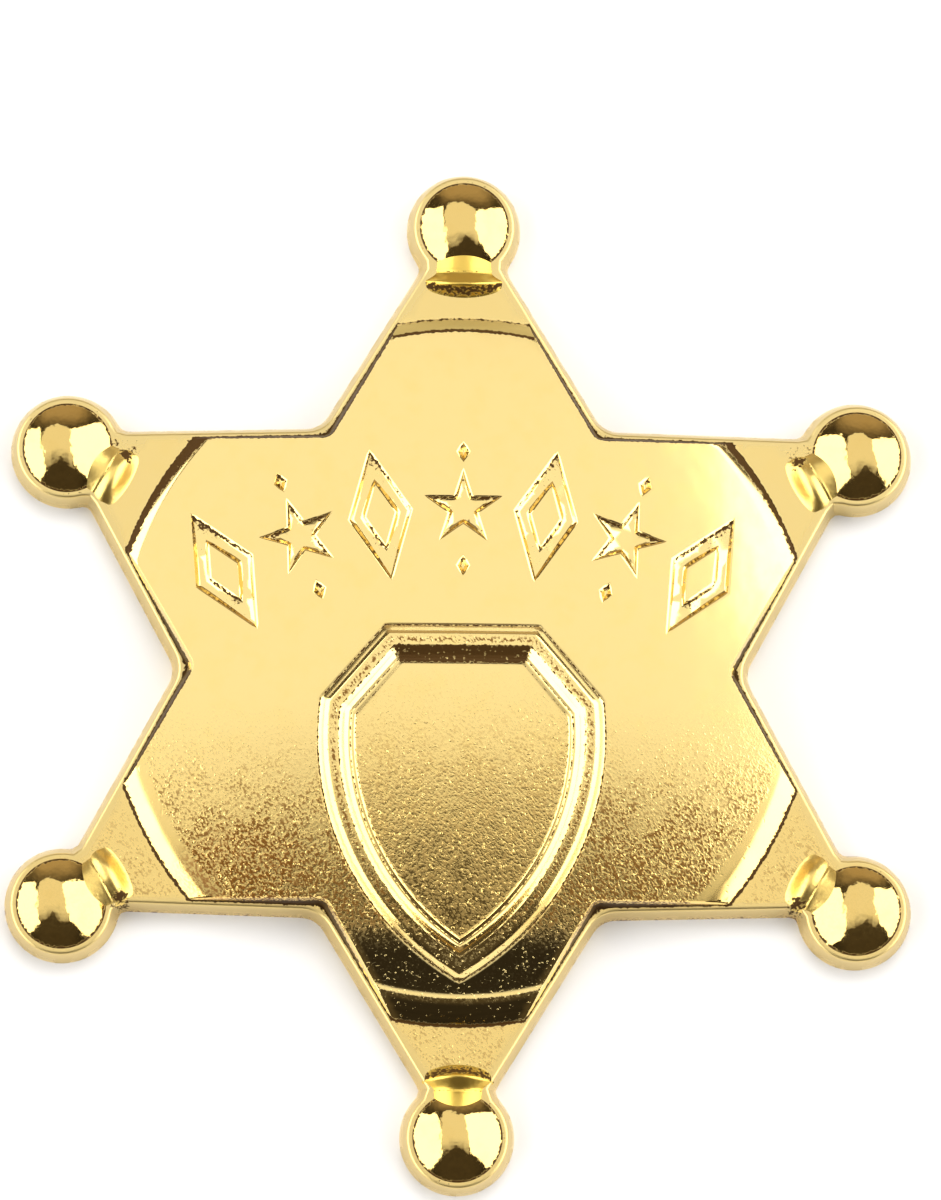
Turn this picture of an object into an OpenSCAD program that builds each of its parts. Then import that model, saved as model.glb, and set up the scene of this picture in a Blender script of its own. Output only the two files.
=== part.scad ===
// Six-pointed star badge with ball tips, a domed centre and a raised shield.
// One hollow-backed casting, and a brooch pin soldered into its back.
// Millimetres. The badge lies on its back: +Z is out of its face, +Y is towards its top tip,
// and the origin is at the middle of its back, on the surface that it rests on.

/* [Star plate] */
// Distance from the middle of the badge to the middle of each ball tip
tip_reach = 31.1; // [29:0.1:34]
// How far the edges of an arm, carried on, run past the middle of its ball before they meet
arm_overrun = 1.5; // [0.5:0.1:2.5]
// Distance from the middle of the badge to each inner corner
notch_reach = 19.4; // [18:0.1:20.5]
// Radius that rounds each inner corner
notch_round = 1.8; // [0.8:0.1:3]
// Thickness of the flat plate
plate_t = 2.2; // [1.8:0.1:3]
// How far the plate's side walls lean in from its back to its face
side_lean = 0.5; // [0.2:0.05:0.8]

/* [Ball tips] */
// Radius of the round disc at each tip, at its back
disc_r = 3.9; // [3.6:0.05:4.4]
// Radius of the ball's cap at its foot
cap_r = 3.05; // [2.6:0.05:3.2]
// Height of the ball's cap above the plate
cap_h = 1.15; // [0.8:0.05:1.8]

/* [Necks] */
// How far the half-round neck's axis lies under the plate's face
neck_sink = 1.8; // [1.2:0.1:2.2]
// Half of the neck's width where it leaves the cap
neck_half_w = 1.75; // [1.4:0.05:2.1]
// Distance from the middle of the ball to the neck's ring
ring_at = 3.1; // [2.9:0.05:3.4]
// Width of the neck's ring
ring_w = 0.2; // [0.15:0.05:0.4]
// How far the ring stands out of the neck
ring_rise = 0.1; // [0.05:0.01:0.2]
// Half of the neck's width at its flared end
flare_half_w = 2.62; // [2.3:0.02:2.9]
// Distance from the middle of the ball to the neck's round end
neck_reach = 4.5; // [4.2:0.05:4.9]
// Radius of the neck's round end, seen from above
neck_end_round = 7; // [4.5:0.5:12]

/* [Domed centre] */
// Radius of the round ends of the domed centre, at their foot
dome_foot_r = 24; // [23:0.1:25]
// Radius of the sphere that its face follows
dome_curve_r = 85; // [70:1:120]
// Radius of the rounded shoulder at its round ends
shoulder_r = 2.2; // [1.6:0.1:3]
// Slope of the shoulder at its foot, in degrees
shoulder_slope = 55; // [45:1:65]
// Width of the flat ledge between the plate's edge and the foot of the domed centre
ledge_w = 0.25; // [0.15:0.05:0.5]
// Lean of the domed centre's straight walls, in degrees from upright
wall_lean = 11; // [5:1:16]

/* [Shield] */
// Height of the shield's top edge above the middle of the badge
shield_top_y = 3.1; // [2.5:0.1:3.8]
// Half of the shield's top edge
shield_top_half_w = 5.25; // [4.5:0.05:6]
// Half of the shield's greatest width
shield_half_w = 9.75; // [8.8:0.05:10.2]
// Drop from the shield's top edge to its shoulders
shoulder_drop = 5.2; // [4.5:0.1:6]
// Drop from the shield's top edge to where its sides are widest
widest_drop = 7.5; // [6:0.1:8.5]
// Length from the shield's widest line to its point
shield_len = 16.5; // [15:0.1:17.5]
// Width of the moulding's outer step
moulding_step_w = 0.35; // [0.2:0.05:0.6]
// Height of the moulding's outer step above the dome
moulding_step_h = 0.25; // [0.15:0.05:0.35]
// Height of the moulding above the dome
moulding_h = 0.5; // [0.4:0.05:0.7]
// Width of the whole moulding
moulding_w = 2.4; // [2:0.1:2.8]
// Width of the moulding's inner step
inner_step_w = 0.7; // [0.4:0.05:0.9]
// Depth of the shield's field below the dome
field_depth = 0.2; // [0.1:0.05:0.35]

/* [Sunk ornament] */
// Radius of the arc that the ornament's middle follows
ornament_arc_r = 32.3; // [31:0.1:33.5]
// Height of the ornament's middle above the middle of the badge, on its axis
ornament_y = 11.3; // [10.8:0.1:11.8]
// Angle between one motif and the next, in degrees
motif_angle = 10; // [9.5:0.1:10.5]
// Height of a tall lozenge
lozenge_h = 9.3; // [8:0.1:9.6]
// Width of a tall lozenge
lozenge_w = 4.4; // [3.8:0.1:4.8]
// Width of a lozenge's sunk outline
stroke_w = 1.05; // [0.7:0.05:1.3]
// Radius of a five-pointed star
star_r = 2.75; // [2.2:0.05:3]
// Length of the small lozenge above and below each star
pip_h = 1.5; // [1:0.1:1.8]
// Width of the small lozenge above and below each star
pip_w = 0.9; // [0.6:0.05:1.2]
// Clear space between a star and its small lozenges
pip_gap = 0.45; // [0.3:0.05:0.8]
// Depth of the ornament
ornament_depth = 0.3; // [0.15:0.05:0.5]

/* [Hollow back] */
// Thickness of the casting under its domed face
wall_t = 1.2; // [1:0.05:1.6]
// Width of the solid rim round the hollow
rim_w = 2.6; // [2:0.1:3.2]
// Distance from the round ends of the dome to the end of the hollow
hollow_inset = 1.9; // [1.4:0.1:3]
// Lean of the hollow's straight walls, in degrees from upright
hollow_lean = 4; // [2:0.5:8]

/* [Brooch pin] */
// Length of the pin's base bar
bar_len = 24; // [20:0.5:26]
// Width of the base bar
bar_w = 4; // [3:0.1:4.6]
// Thickness of the base bar
bar_t = 0.6; // [0.5:0.05:0.8]
// Height of the bar's middle line above the middle of the badge
pin_y = 5; // [4:0.1:6]
// Solder gap between the bar and its seat
solder_gap = 0.05; // [0.02:0.01:0.1]
// Radius of the pin's wire
wire_r = 0.45; // [0.35:0.01:0.55]
// Clearance between the pin and the surface that the badge lies on
pin_clearance = 0.3; // [0.2:0.05:0.6]
// Size of the hinge block and of the catch along the bar
block_len = 2.4; // [1.8:0.1:3]
// Width of the hinge block
hinge_w = 2.6; // [2:0.1:3]
// Thickness of the catch's hook
hook_t = 0.6; // [0.5:0.05:0.7]
// How far the wire's point runs past the catch
point_len = 0.8; // [0.5:0.1:1.2]

/* [Hidden] */
$fn = 96;

// Sides of a full circle for the very flat arcs of the dome
fine = 1440;
// Depth by which one form is set into the next, so that they join as one casting
set_in = 0.3;
// Reach of the blocks that only bound a cut
far = 60;

arms = 6;
arm_step = 360 / arms;
arm_reach = tip_reach + arm_overrun;

// Distance from the middle to each straight edge of the star
notch_x = notch_reach * sin(arm_step / 2);
notch_y = notch_reach * cos(arm_step / 2);
edge_run = norm([notch_x, arm_reach - notch_y]);
edge_dist = arm_reach * notch_x / edge_run;
// Half of the angle between the two edges of an arm
arm_half_angle = atan(notch_x / (arm_reach - notch_y));
// Slope of the edges on each side of an inner corner, seen with that corner on +Y
corner_rise = arm_step - arm_half_angle;

// The dome's sphere and the shoulder that rolls over its round ends
shoulder_x = dome_foot_r - shoulder_r * sin(shoulder_slope);
shoulder_z = plate_t - shoulder_r * cos(shoulder_slope);
dome_z = shoulder_z - sqrt(pow(dome_curve_r - shoulder_r, 2) - pow(shoulder_x, 2));
dome_top = dome_z + dome_curve_r;
shoulder_end = shoulder_x * dome_curve_r / (dome_curve_r - shoulder_r);

// The sides of the shield are arcs that stand upright where it is widest
shield_side_r = (pow(shield_len, 2) + pow(shield_half_w, 2)) / (2 * shield_half_w);
shield_side_y = shield_top_y - widest_drop;
shield_diag = atan(shoulder_drop / (shield_half_w - shield_top_half_w));

// The hollow back, and the flat seat for the pin's bar
hollow_r = dome_foot_r - hollow_inset;
ceiling_r = dome_curve_r - wall_t;
seat_margin = 0.5;
seat_corner = norm([bar_len / 2 + seat_margin, pin_y + bar_w / 2 + seat_margin]);
seat_z = dome_z + sqrt(pow(ceiling_r, 2) - pow(seat_corner, 2));
bar_top = seat_z - solder_gap;
wire_z = pin_clearance + wire_r;

gold = [0.91, 0.76, 0.42];
nickel = [0.72, 0.71, 0.68];

// Everything inside one leaning wall of the arm on +Y: at height z the wall stands inset + z * tan(lean) in
module inside_wall(inset, lean) {
    rotate(arm_half_angle) translate([edge_dist - inset, 0, 0]) rotate([0, -lean, 0])
        translate([-far, -far, -far]) cube([far, 2 * far, 2 * far]);
}

// The arm on +Y, carried down between its two walls until it is well inside its neighbours
module arm_block(inset, lean, z_low, z_high) {
    intersection() {
        translate([-far, notch_reach * 0.15, z_low]) cube([2 * far, far, z_high - z_low]);
        inside_wall(inset, lean);
        mirror([1, 0, 0]) inside_wall(inset, lean);
    }
}

// The rounding of the inner corner on +Y, between its two walls and a cone that touches both
module corner_fill(inset, lean, z_low, z_high) {
    deep = notch_round + inset + z_high * tan(lean) + set_in;
    centre_y = notch_reach + notch_round / cos(corner_rise);
    side = [deep * sin(corner_rise), centre_y - deep * cos(corner_rise)];
    difference() {
        translate([0, 0, z_low]) linear_extrude(height = z_high - z_low)
            polygon([[0, centre_y], [-side[0], side[1]], [0, centre_y - deep / cos(corner_rise)], side]);
        translate([0, centre_y, z_low - set_in]) cylinder(h = z_high - z_low + 2 * set_in,
            r1 = notch_round + inset + (z_low - set_in) * tan(lean),
            r2 = notch_round + inset + (z_high + set_in) * tan(lean));
    }
}

// A six-pointed star with walls that lean in as they rise, its inner corners rounded
module star_block(inset, lean, z_low, z_high) {
    translate([0, 0, z_low]) cylinder(h = z_high - z_low, r = notch_reach * 0.4);
    around() arm_block(inset, lean, z_low, z_high);
    around() rotate(arm_step / 2) corner_fill(inset, lean, z_low, z_high);
}

// A block under a sphere about the dome's centre, from z_low up, out to r_max
module under_sphere(sphere_r, r_max, z_low) {
    rotate_extrude() intersection() {
        translate([0, dome_z]) circle(sphere_r, $fn = fine);
        translate([0, z_low]) square([r_max, dome_z + sphere_r + 1 - z_low]);
    }
}

module around() {
    for (i = [0 : arms - 1]) rotate(arm_step * i) children();
}

// The flat star with a disc at each tip
module plate() {
    star_block(0, atan(side_lean / plate_t), 0, plate_t);
    around() translate([0, tip_reach, 0]) cylinder(h = plate_t, r1 = disc_r, r2 = disc_r - side_lean);
}

module ball_cap() {
    ball_r = (pow(cap_r, 2) + pow(cap_h, 2)) / (2 * cap_h);
    foot_z = plate_t + cap_h - ball_r;
    rotate_extrude() intersection() {
        translate([0, foot_z]) circle(ball_r);
        translate([0, plate_t - set_in]) square([cap_r, set_in + cap_h + 1]);
    }
}

// Radius of the neck, whose axis is sunk, where it is w wide each way at the plate's face
function neck_r(w) = norm([w, neck_sink]);

// A half-round neck from the ball towards the middle, with a ring and a flared, round end
module neck() {
    start = cap_r * 0.6;
    ring_end = ring_at + ring_w;
    flare_mid = (ring_end + neck_reach) / 2;
    mid_half_w = neck_half_w + (flare_half_w - neck_half_w) * 0.4;
    intersection() {
        translate([0, 0, plate_t - neck_sink]) rotate([90, 0, 0]) rotate_extrude() polygon([
            [0, start],
            [neck_r(neck_half_w), start],
            [neck_r(neck_half_w), ring_at],
            [neck_r(neck_half_w) + ring_rise, ring_at],
            [neck_r(neck_half_w) + ring_rise, ring_end],
            [neck_r(neck_half_w), ring_end],
            [neck_r(mid_half_w), flare_mid],
            [neck_r(flare_half_w), neck_reach],
            [0, neck_reach]]);
        translate([0, neck_end_round - neck_reach, plate_t - set_in])
            cylinder(h = 2 * neck_r(flare_half_w), r = neck_end_round);
    }
}

// The star-shaped dome: leaning walls along the arms, a rolled shoulder at its round ends
module dome() {
    low = plate_t - set_in;
    high = dome_top + 1;
    foot_inset = side_lean + ledge_w - plate_t * tan(wall_lean);
    intersection() {
        star_block(foot_inset, wall_lean, low, high);
        rotate_extrude() {
            intersection() {
                translate([0, dome_z]) circle(dome_curve_r, $fn = fine);
                translate([0, low]) square([shoulder_end, high - low]);
            }
            intersection() {
                translate([shoulder_x, shoulder_z]) circle(shoulder_r);
                translate([shoulder_end - set_in, low]) square([shoulder_r * 2, high - low]);
            }
        }
    }
}

// Everything on one side of a line through p, turned by angle
module half_plane(p, angle) {
    translate(p) rotate(angle) translate([-far, -far]) square([2 * far, far]);
}

// The shield's outline with every edge moved in by inset
module shield_outline(inset) {
    intersection() {
        translate([shield_half_w - shield_side_r, shield_side_y]) circle(shield_side_r - inset);
        translate([shield_side_r - shield_half_w, shield_side_y]) circle(shield_side_r - inset);
        half_plane([0, shield_top_y - inset], 0);
        half_plane([shield_top_half_w - inset * sin(shield_diag),
            shield_top_y - inset * cos(shield_diag)], -shield_diag);
        half_plane([-shield_top_half_w + inset * sin(shield_diag),
            shield_top_y - inset * cos(shield_diag)], shield_diag);
    }
}

// The shield's outline raised to a height over the dome's face
module shield_block(inset, rise) {
    intersection() {
        translate([0, 0, plate_t]) linear_extrude(height = dome_top) shield_outline(inset);
        under_sphere(dome_curve_r + rise, dome_foot_r, plate_t);
    }
}

module lozenge(w, h) {
    polygon([[0, h / 2], [w / 2, 0], [0, -h / 2], [-w / 2, 0]]);
}

// A lozenge drawn as a line of even width
module lozenge_ring() {
    k = 1 - 2 * stroke_w * norm([lozenge_w, lozenge_h]) / (lozenge_w * lozenge_h);
    difference() {
        lozenge(lozenge_w, lozenge_h);
        lozenge(lozenge_w * k, lozenge_h * k);
    }
}

// A five-pointed star with a small lozenge above and below it
module star_motif() {
    inner_r = star_r * sin(18) / sin(54);
    polygon([for (i = [0 : 9])
        let (r = i % 2 == 0 ? star_r : inner_r, a = 90 + i * 36)
        [r * cos(a), r * sin(a)]]);
    for (s = [-1, 1]) translate([0, s * (star_r + pip_gap + pip_h / 2)]) lozenge(pip_w, pip_h);
}

// Seven motifs on an arc over the shield, lozenges and stars by turns
module ornament() {
    arc_y = ornament_y - ornament_arc_r;
    for (i = [-3 : 3]) translate([0, arc_y]) rotate(-i * motif_angle) translate([0, ornament_arc_r]) {
        if (i % 2 == 0) star_motif();
        else lozenge_ring();
    }
}

// The cutter for what is sunk to one depth below the dome's face
module sunk(depth) {
    difference() {
        translate([0, 0, plate_t]) linear_extrude(height = dome_top) children();
        under_sphere(dome_curve_r - depth, dome_foot_r, plate_t - 1);
    }
}

// The hollow in the back, without the seat that the pin's bar is soldered to
module hollow() {
    difference() {
        intersection() {
            star_block(rim_w, hollow_lean, -set_in, dome_top);
            under_sphere(ceiling_r, hollow_r, -1);
        }
        translate([-bar_len / 2 - seat_margin, pin_y - bar_w / 2 - seat_margin, seat_z])
            cube([bar_len + 2 * seat_margin, bar_w + 2 * seat_margin, dome_top]);
    }
}

module star_casting() {
    color(gold) difference() {
        union() {
            plate();
            around() translate([0, tip_reach, 0]) {
                ball_cap();
                neck();
            }
            dome();
            shield_block(0, moulding_step_h);
            shield_block(moulding_step_w, moulding_h);
        }
        sunk(-moulding_step_h) shield_outline(moulding_w - inner_step_w);
        sunk(field_depth) shield_outline(moulding_w);
        sunk(ornament_depth) ornament();
        hollow();
    }
}

// Bar, hinge block, wire and catch as one plain piece
module brooch_pin() {
    drop = bar_top - bar_t / 2 - pin_clearance;
    hinge_x = -bar_len / 2;
    catch_x = bar_len / 2 - block_len;
    color(nickel) translate([0, pin_y, 0]) {
        translate([hinge_x, -bar_w / 2, bar_top - bar_t]) cube([bar_len, bar_w, bar_t]);
        translate([hinge_x, -hinge_w / 2, pin_clearance]) cube([block_len, hinge_w, drop]);
        translate([hinge_x + block_len / 2, 0, wire_z]) rotate([0, 90, 0])
            cylinder(h = bar_len - block_len / 2 - 2 * wire_r, r = wire_r);
        translate([bar_len / 2 - 2 * wire_r, 0, wire_z]) rotate([0, 90, 0])
            cylinder(h = point_len + 2 * wire_r, r1 = wire_r, r2 = wire_r / 3);
        translate([catch_x, wire_r, pin_clearance]) cube([block_len, hook_t, drop]);
        translate([catch_x, -wire_r - hook_t, pin_clearance])
            cube([block_len, 2 * wire_r + 2 * hook_t, wire_r * 0.4]);
        translate([catch_x, -wire_r - hook_t, pin_clearance]) cube([block_len, hook_t, 2 * wire_r]);
    }
}

star_casting();
brooch_pin();
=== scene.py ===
"""Dresses the star badge: one gold casting with ball tips, its pin, a pale floor and studio light.

Sizes are in millimetres unless a name says otherwise, in the part's own frame: +Z out of the badge's face,
+Y towards its top tip, and the floor at Z = 0. Lengths inside a material are in metres.
"""
from __future__ import annotations

import logging
import math
from contextlib import contextmanager
from dataclasses import dataclass
from enum import Enum
from typing import Callable, Iterator, Sequence, Union

import bpy
import numpy as np
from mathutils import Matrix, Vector, kdtree
from mathutils.geometry import delaunay_2d_cdt


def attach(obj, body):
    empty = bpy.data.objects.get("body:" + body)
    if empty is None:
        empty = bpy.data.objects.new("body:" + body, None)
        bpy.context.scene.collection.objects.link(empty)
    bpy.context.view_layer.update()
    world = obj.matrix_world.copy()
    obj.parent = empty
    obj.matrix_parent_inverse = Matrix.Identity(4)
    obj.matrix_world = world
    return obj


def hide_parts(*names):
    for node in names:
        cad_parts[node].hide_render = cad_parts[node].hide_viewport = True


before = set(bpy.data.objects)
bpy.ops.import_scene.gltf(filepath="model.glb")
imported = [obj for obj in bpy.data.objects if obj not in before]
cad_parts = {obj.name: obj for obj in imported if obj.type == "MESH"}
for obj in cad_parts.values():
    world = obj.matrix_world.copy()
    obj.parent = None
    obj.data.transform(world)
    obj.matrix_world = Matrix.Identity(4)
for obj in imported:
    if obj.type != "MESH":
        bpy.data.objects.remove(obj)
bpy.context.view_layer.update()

MM = 0.001
LOG = logging.getLogger("badge")
Array = np.ndarray
Value = Union["Socket", int, float]
Pair = tuple[float, float]
Colour = tuple[float, float, float]

# Turns a place over the plan into its mirror image across the badge's upright middle line.
MIRROR = np.array([-1.0, 1.0])
# How far apart two places are when the slope of a measure is taken between them.
NEAR = 1e-4


class Part(Enum):
    """The CAD nodes that pieces of the scene stand for."""

    CASTING = "star_casting"
    PIN = "brooch_pin"


class Slot(Enum):
    """The record's material slots."""

    GOLD = "gold_casting"
    STEEL = "pin_steel"


# Shader maths


class Socket:
    """A node's output that can be used in plain sums, so that an expression builds its Math nodes."""

    def __init__(self, graph: Graph, out: bpy.types.NodeSocket | None) -> None:
        """Wraps an output.

        Args:
            graph: the graph that the node is in.
            out: the output to wrap, or None for a node that has none.
        """
        self.graph = graph
        self.out = out

    def _math(self, operation: str, other: Value) -> Socket:
        """Adds one Math node.

        Args:
            operation: the Math node's operation.
            other: its second value or link.

        Returns:
            The node's output.
        """
        return self.graph.node("ShaderNodeMath", {"operation": operation}, self, other)

    def __add__(self, other: Value) -> Socket:
        """Returns the sum."""
        return self._math("ADD", other)

    __radd__ = __add__

    def __sub__(self, other: Value) -> Socket:
        """Returns the difference."""
        return self._math("SUBTRACT", other)

    def __rsub__(self, other: Value) -> Socket:
        """Returns a number less this value."""
        return self.graph.node("ShaderNodeMath", {"operation": "SUBTRACT"}, other, self)

    def __mul__(self, other: Value) -> Socket:
        """Returns the product."""
        return self._math("MULTIPLY", other)

    __rmul__ = __mul__

    def __truediv__(self, other: Value) -> Socket:
        """Returns the quotient."""
        return self._math("DIVIDE", other)

    def least(self, other: Value) -> Socket:
        """Returns the smaller of two values."""
        return self._math("MINIMUM", other)

    def most(self, other: Value) -> Socket:
        """Returns the larger of two values."""
        return self._math("MAXIMUM", other)

    def step(self, low: float, high: float, to_low: float = 0.0, to_high: float = 1.0) -> Socket:
        """Maps a range smoothly on to another.

        Args:
            low: where the change starts.
            high: where it ends.
            to_low: the result at low.
            to_high: the result at high.

        Returns:
            The mapped value.
        """
        smooth_step = {"interpolation_type": "SMOOTHSTEP"}
        return self.graph.node("ShaderNodeMapRange", smooth_step, self, low, high, to_low, to_high)


class Graph:
    """A material's or world's node tree, filled by calls."""

    def __init__(self, tree: bpy.types.NodeTree) -> None:
        """Empties a node tree.

        Args:
            tree: the tree to fill.
        """
        self.tree = tree
        tree.nodes.clear()

    def node(self, kind: str, settings: dict[str, object] | None = None, *inputs: object,
             out: int | str = 0, **named: object) -> Socket:
        """Adds a node, sets it and feeds its sockets.

        Args:
            kind: the node's type.
            settings: its properties, which are set first.
            inputs: values or links for its first sockets.
            out: which output to return.
            named: values or links for sockets by name, with underscores for spaces.

        Returns:
            The chosen output.
        """
        made = self.tree.nodes.new(kind)
        for key, value in (settings or {}).items():
            setattr(made, key, value)
        feeds = list(zip(made.inputs, inputs))
        feeds += [(made.inputs[name.replace("_", " ")], value) for name, value in named.items()]
        for socket, value in feeds:
            if isinstance(value, Socket):
                self.tree.links.new(value.out, socket)
            else:
                socket.default_value = value
        return Socket(self, made.outputs[out] if len(made.outputs) else None)

    def noise(self, where: Socket, scale: float, detail: float = 3.0, rough: float = 0.5) -> Socket:
        """Adds a noise texture.

        Args:
            where: the coordinates.
            scale: cells to a metre.
            detail: its octaves.
            rough: its roughness.

        Returns:
            The noise, around 0.5.
        """
        return self.node("ShaderNodeTexNoise", {}, where, Scale=scale, Detail=detail, Roughness=rough)

    def mix(self, factor: Value, first: object, second: object) -> Socket:
        """Mixes two colours.

        Args:
            factor: 0 for the first and 1 for the second.
            first: a colour or a link.
            second: a colour or a link.

        Returns:
            The mixed colour.
        """
        made = self.tree.nodes.new("ShaderNodeMix")
        made.data_type = "RGBA"
        for name, value in (("Factor_Float", factor), ("A_Color", first), ("B_Color", second)):
            socket = next(s for s in made.inputs if s.identifier == name)
            if isinstance(value, Socket):
                self.tree.links.new(value.out, socket)
            else:
                socket.default_value = value if isinstance(value, (int, float)) else (*value, 1.0)
        return Socket(self, next(s for s in made.outputs if s.identifier == "Result_Color"))

    def parts(self, vector: Socket, names: str = "XYZ") -> list[Socket]:
        """Takes a vector apart.

        Args:
            vector: the vector.
            names: which of its parts are wanted.

        Returns:
            The parts, in the order of their names.
        """
        outputs = self.node("ShaderNodeSeparateXYZ", {}, vector).out.node.outputs
        return [Socket(self, outputs[name]) for name in names]


# Finishes


def new_material(name: str) -> tuple[bpy.types.Material, Graph]:
    """Makes an empty material.

    Args:
        name: the material's name.

    Returns:
        The material, and the graph of its nodes.
    """
    made = bpy.data.materials.new(name)
    made.use_nodes = True
    return made, Graph(made.node_tree)


class GoldSurface:
    """What the gold finish goes by at each point: the skin's marks, noises, and zones made of both."""

    def __init__(self, g: Graph, grain: float) -> None:
        """Adds the nodes.

        Args:
            g: the material's graph.
            grain: how grainy the piece is, 1 for the dome.
        """
        place = g.node("ShaderNodeTexCoord", {}, out="Object")
        self.x, self.y = g.parts(place, "XY")
        self.crease, self.base, self.shade, grained, calm, self.rim, field, self.dim = (
            g.node("ShaderNodeAttribute", {"attribute_name": name}, out="Fac")
            for name in ("crease", "base", "shade", "grained", "calm", "rim", "field", "dim"))
        brushed = g.node("ShaderNodeMapping", {"vector_type": "TEXTURE"}, place,
                         Rotation=(0.0, 0.0, 0.7), Scale=(1.0, 1.6, 1.0))
        self.grit = g.noise(place, 4300.0, 1.0)
        self.soft = g.noise(place, 2200.0, 2.0)
        self.pits = g.noise(place, 2600.0, 0.0).step(0.74, 0.80)
        self.dirt = g.noise(brushed, 6600.0, 1.0)
        self.broad = g.noise(place, 230.0, 2.0)
        self.patch = g.noise(place, 520.0, 3.0, 0.6)
        # The casting is smoother towards its top tip and grainy towards its lower tips, and its lower half
        # gets a painted shade of deeper gold.
        self.low = (self.y - field * 0.003).step(0.0005, -0.0145)
        self.bottom = self.y.step(-0.0160, -0.0190) * (1 - self.base) * (1 - field)
        zone = self.low * self.patch.step(0.25, 0.60, 0.5, 1.0)
        zone = zone * (1 - self.base * 0.55) * (1 - self.bottom * 0.75)
        self.zone = (zone * (1 - calm) * (1 - self.rim)).most(grained * 0.9)
        specks = (self.grit + self.zone * 0.03).step(0.64, 0.78)
        self.specks = specks * self.zone.most(self.bottom * 0.7)
        specked = (self.dirt + self.zone * 0.15).step(0.58, 0.70) * self.zone.step(0.0, 0.8)
        self.specked = specked * (1 - self.bottom * 0.8) * (1 - field * 0.45) * grain
        # Painted shade: the crease mark darkens the gold, in ragged patches.
        ragged = (self.crease + (self.grit - 0.5) * 1.5).step(0.35, 0.65)
        self.crease_shade = ragged * self.crease.step(0.0, 0.2)


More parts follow.
